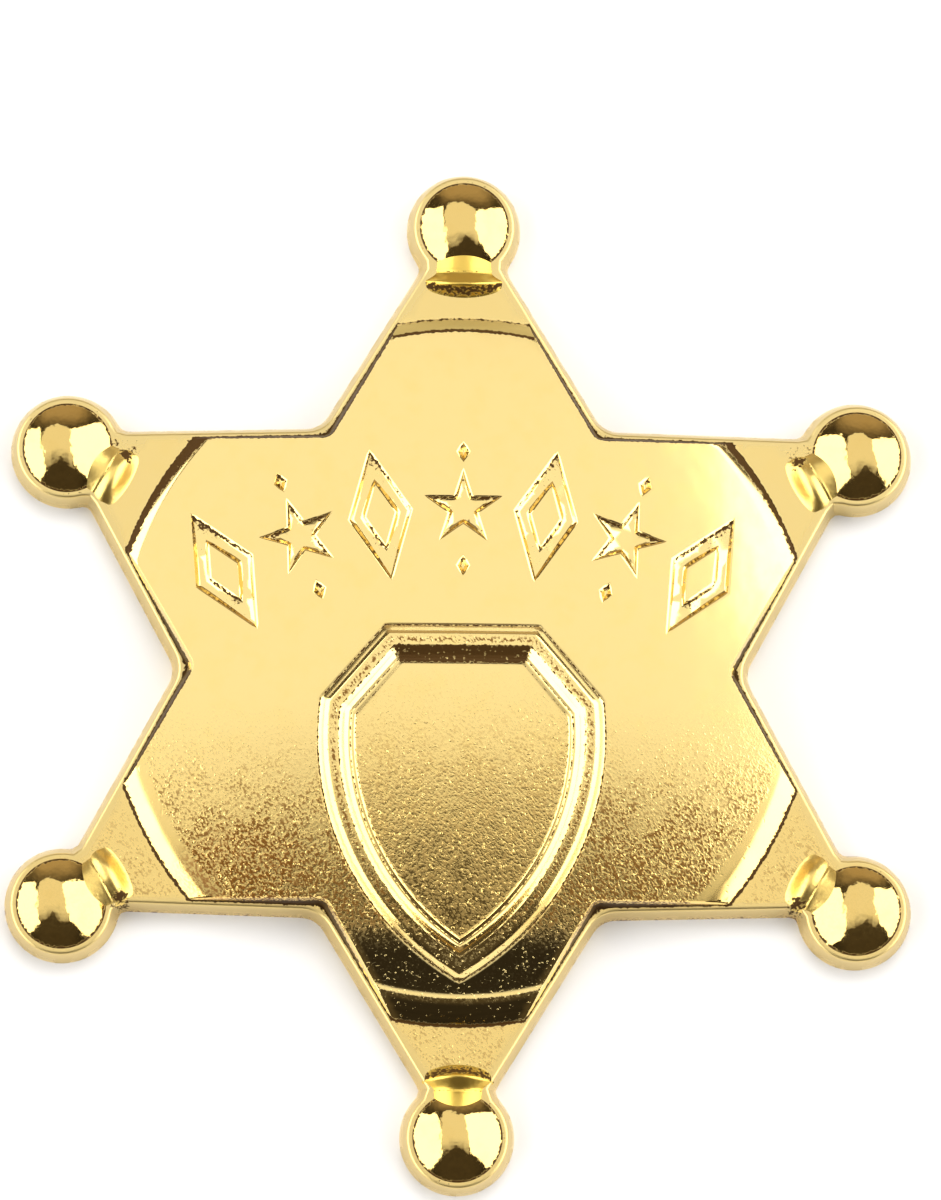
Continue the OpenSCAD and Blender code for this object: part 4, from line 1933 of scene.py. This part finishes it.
@dataclass(frozen=True)
class Sky:
    """The studio that the gold mirrors: two softboxes, a pale ceiling and dark gaps.

    Each region is convex and laid out as it shows on a ball's cap seen from above, in pixels of the
    photograph from the cap's middle, with its corners anticlockwise. map_scale is the radius of the cap's
    sphere in the same pixels, and view points from the badge to the camera.
    """

    view: tuple[float, float, float] = (-0.026, -0.105, 0.994)
    map_scale: float = 67.8
    left_box: tuple[Pair, ...] = ((-70, 20), (-66, -60), (-24, -33), (-13, -19), (-17, 0), (-18.3, 21))
    right_box: tuple[Pair, ...] = ((8, 17.5), (11, 3), (13, -14), (26, -29), (70, -60), (70, 33))
    ceiling: tuple[Pair, ...] = (
        (-19.5, 13), (-19.5, -12), (-13, -21), (13, -21), (14, 3), (10, 18.5), (-3, 23.5), (-14, 22))
    wedge: tuple[Pair, ...] = ((-27, -34), (27, -31), (12, -18.5), (5.0, -15.0), (-5.0, -15.0), (-12, -18.5))
    peak: tuple[Pair, ...] = ((-8.0, -19.0), (8.0, -19.0), (1.2, -8.5), (-1.2, -8.5))
    seam: tuple[Pair, ...] = ((-18.6, 15), (-19.0, -4), (-17.9, -4), (-17.5, 15))
    box_light: float = 3.1
    ceiling_light: float = 1.04
    horizon_light: float = 0.35
    warm: Colour = (1.0, 0.80, 0.58)
    white: Colour = (1.0, 0.99, 0.98)
    backdrop: tuple[float, float, float, float] = (0.93, 0.92, 0.91, 1.0)

    @staticmethod
    def _region(x: Socket, y: Socket, corners: Sequence[Pair], soft: float) -> Socket:
        """Masks a region.

        Args:
            x: the place across.
            y: the place up.
            corners: the region's corners.
            soft: how soft its edge is.

        Returns:
            The mask, 1 inside.
        """
        inside: Socket | None = None
        for (x0, y0), (x1, y1) in zip(corners, [*corners[1:], corners[0]]):
            run = math.hypot(x1 - x0, y1 - y0)
            a, b = -(y1 - y0) / run, (x1 - x0) / run
            side = x * a + y * b - (a * x0 + b * y0)
            inside = side if inside is None else inside.least(side)
        return inside.step(-soft, soft)

    def build(self) -> None:
        """Makes the world and gives it to the scene."""
        world = bpy.data.worlds.new("studio")
        bpy.context.scene.world = world
        world.use_nodes = True
        g = Graph(world.node_tree)
        ray = g.node("ShaderNodeTexCoord", {}, out="Generated")
        half = g.node("ShaderNodeVectorMath", {"operation": "ADD"}, ray, self.view)
        half = g.node("ShaderNodeVectorMath", {"operation": "NORMALIZE"}, half)
        x, y = (part * self.map_scale for part in g.parts(half, "XY"))
        light = self._light(x, y)
        total = light.most(self._dark(g, ray, x, y))
        wall = g.parts(ray, "Z")[0].step(-0.02, 0.07)
        total = total * wall + (1 - wall) * y.step(-8.0, 16.0, self.horizon_light, 0.06)
        shade = g.mix(light.step(0.0, 0.5), self.warm, self.white)
        lit = g.node("ShaderNodeBackground", {}, shade, total)
        plain = g.node("ShaderNodeBackground", {}, self.backdrop, 1.0)
        seen = g.node("ShaderNodeLightPath", {}, out="Is Camera Ray")
        g.node("ShaderNodeOutputWorld", {}, g.node("ShaderNodeMixShader", {}, seen, lit, plain))

    def _light(self, x: Socket, y: Socket) -> Socket:
        """Lights the softboxes and the ceiling, with the dark shape that stands before them.

        Args:
            x: the place across.
            y: the place up.

        Returns:
            The light.
        """
        left, right, ceiling, wedge, peak, seam = (self._region(x, y, corners, soft) for corners, soft in (
            (self.left_box, 0.5), (self.right_box, 0.5), (self.ceiling, 0.7), (self.wedge, 1.5),
            (self.peak, 0.8), (self.seam, 0.35)))
        middle, sides = y.step(-18.0, -2.0, 0.04, 1.0), y.step(-22.0, -5.0, 0.30, 1.0)
        off = (x * x).step(16.0, 110.0)
        ceiling = ceiling * (middle * (1 - off) + sides * off)
        body = (peak * 0.75).most(wedge * 0.92).most(seam * 0.8)
        boxes = left.most(right) * self.box_light * (1 - seam * 0.6)
        return boxes.most(ceiling * (1 - body) * self.ceiling_light)

    @staticmethod
    def _dark(g: Graph, ray: Socket, x: Socket, y: Socket) -> Socket:
        """Gives the dark part of the room its faint light, stronger at the back.

        Args:
            g: the world's graph.
            ray: the direction looked in.
            x: the place across.
            y: the place up.

        Returns:
            The light.
        """
        haze = g.noise(ray, 9.0)
        back = y.step(18.0, 36.0, 0.07, 0.50) * (x * x).step(100.0, 900.0, 1.0, 0.25)
        return y.step(0.0, 16.0, 0.035, 0.06).most(back) + (haze - 0.5) * 0.04


@dataclass(frozen=True)
class Studio:
    """The camera at the photograph's place, a white floor and the studio's light."""

    camera_at: tuple[float, float, float] = (-12.6, -51.5, 490.0)
    camera_turn: tuple[float, float, float] = (6.64, -1.60, 0.42)
    lens_mm: float = 216.6
    sensor_mm: float = 36.0
    clip_m: Pair = (0.01, 20.0)
    floor_m: float = 6.0

    def camera(self) -> bpy.types.Object:
        """Makes the camera and makes it the scene's own.

        Returns:
            The camera.
        """
        data = bpy.data.cameras.new("camera")
        data.lens, data.sensor_width = self.lens_mm, self.sensor_mm
        data.clip_start, data.clip_end = self.clip_m
        obj = linked("camera", data)
        obj.location = Vector(self.camera_at) * MM
        obj.rotation_euler = [math.radians(a) for a in self.camera_turn]
        bpy.context.scene.camera = obj
        return obj

    def floor(self) -> bpy.types.Object:
        """Lays the paper floor.

        Returns:
            The floor.
        """
        bpy.ops.object.select_all(action="DESELECT")
        bpy.ops.mesh.primitive_plane_add(size=self.floor_m, location=(0, 0, 0))
        obj = bpy.context.object
        obj.name = "floor"
        obj.data.materials.append(PaperFinish().material("white_paper"))
        return obj

    def build(self) -> None:
        """Sets the whole studio up."""
        self.camera()
        self.floor()
        Lamp().build()
        Sky().build()
        bpy.context.scene.view_settings.view_transform = "Standard"
        LOG.info("studio: camera, floor, lamp and sky")


def main() -> None:
    """Builds the studio and dresses every piece."""
    logging.basicConfig(level=logging.INFO, format="%(name)s: %(message)s")
    Studio().build()
    Casting().build(GoldFinish().material("gold_plate"))
    polished = GoldFinish(colour=(0.84, 0.60, 0.20), worn=(0.80, 0.54, 0.15), roughness=0.07, grain=0.03,
                          wave=8.0, wobble=5.0)
    collar = GoldFinish(colour=(0.80, 0.55, 0.11), worn=(0.76, 0.49, 0.085), roughness=0.32, grain=0.1,
                        wobble=6.0)
    soft = GoldFinish(colour=(0.93, 0.68, 0.20), worn=(0.90, 0.64, 0.17), roughness=0.30, grain=0.15,
                      wobble=6.0)
    BallTip().build(polished.material("gold_polished"), collar.material("gold_collar"),
                    soft.material("gold_neck"))
    dress_pin(SteelFinish().material(Slot.STEEL.value))


if __name__ == "__main__":
    main()
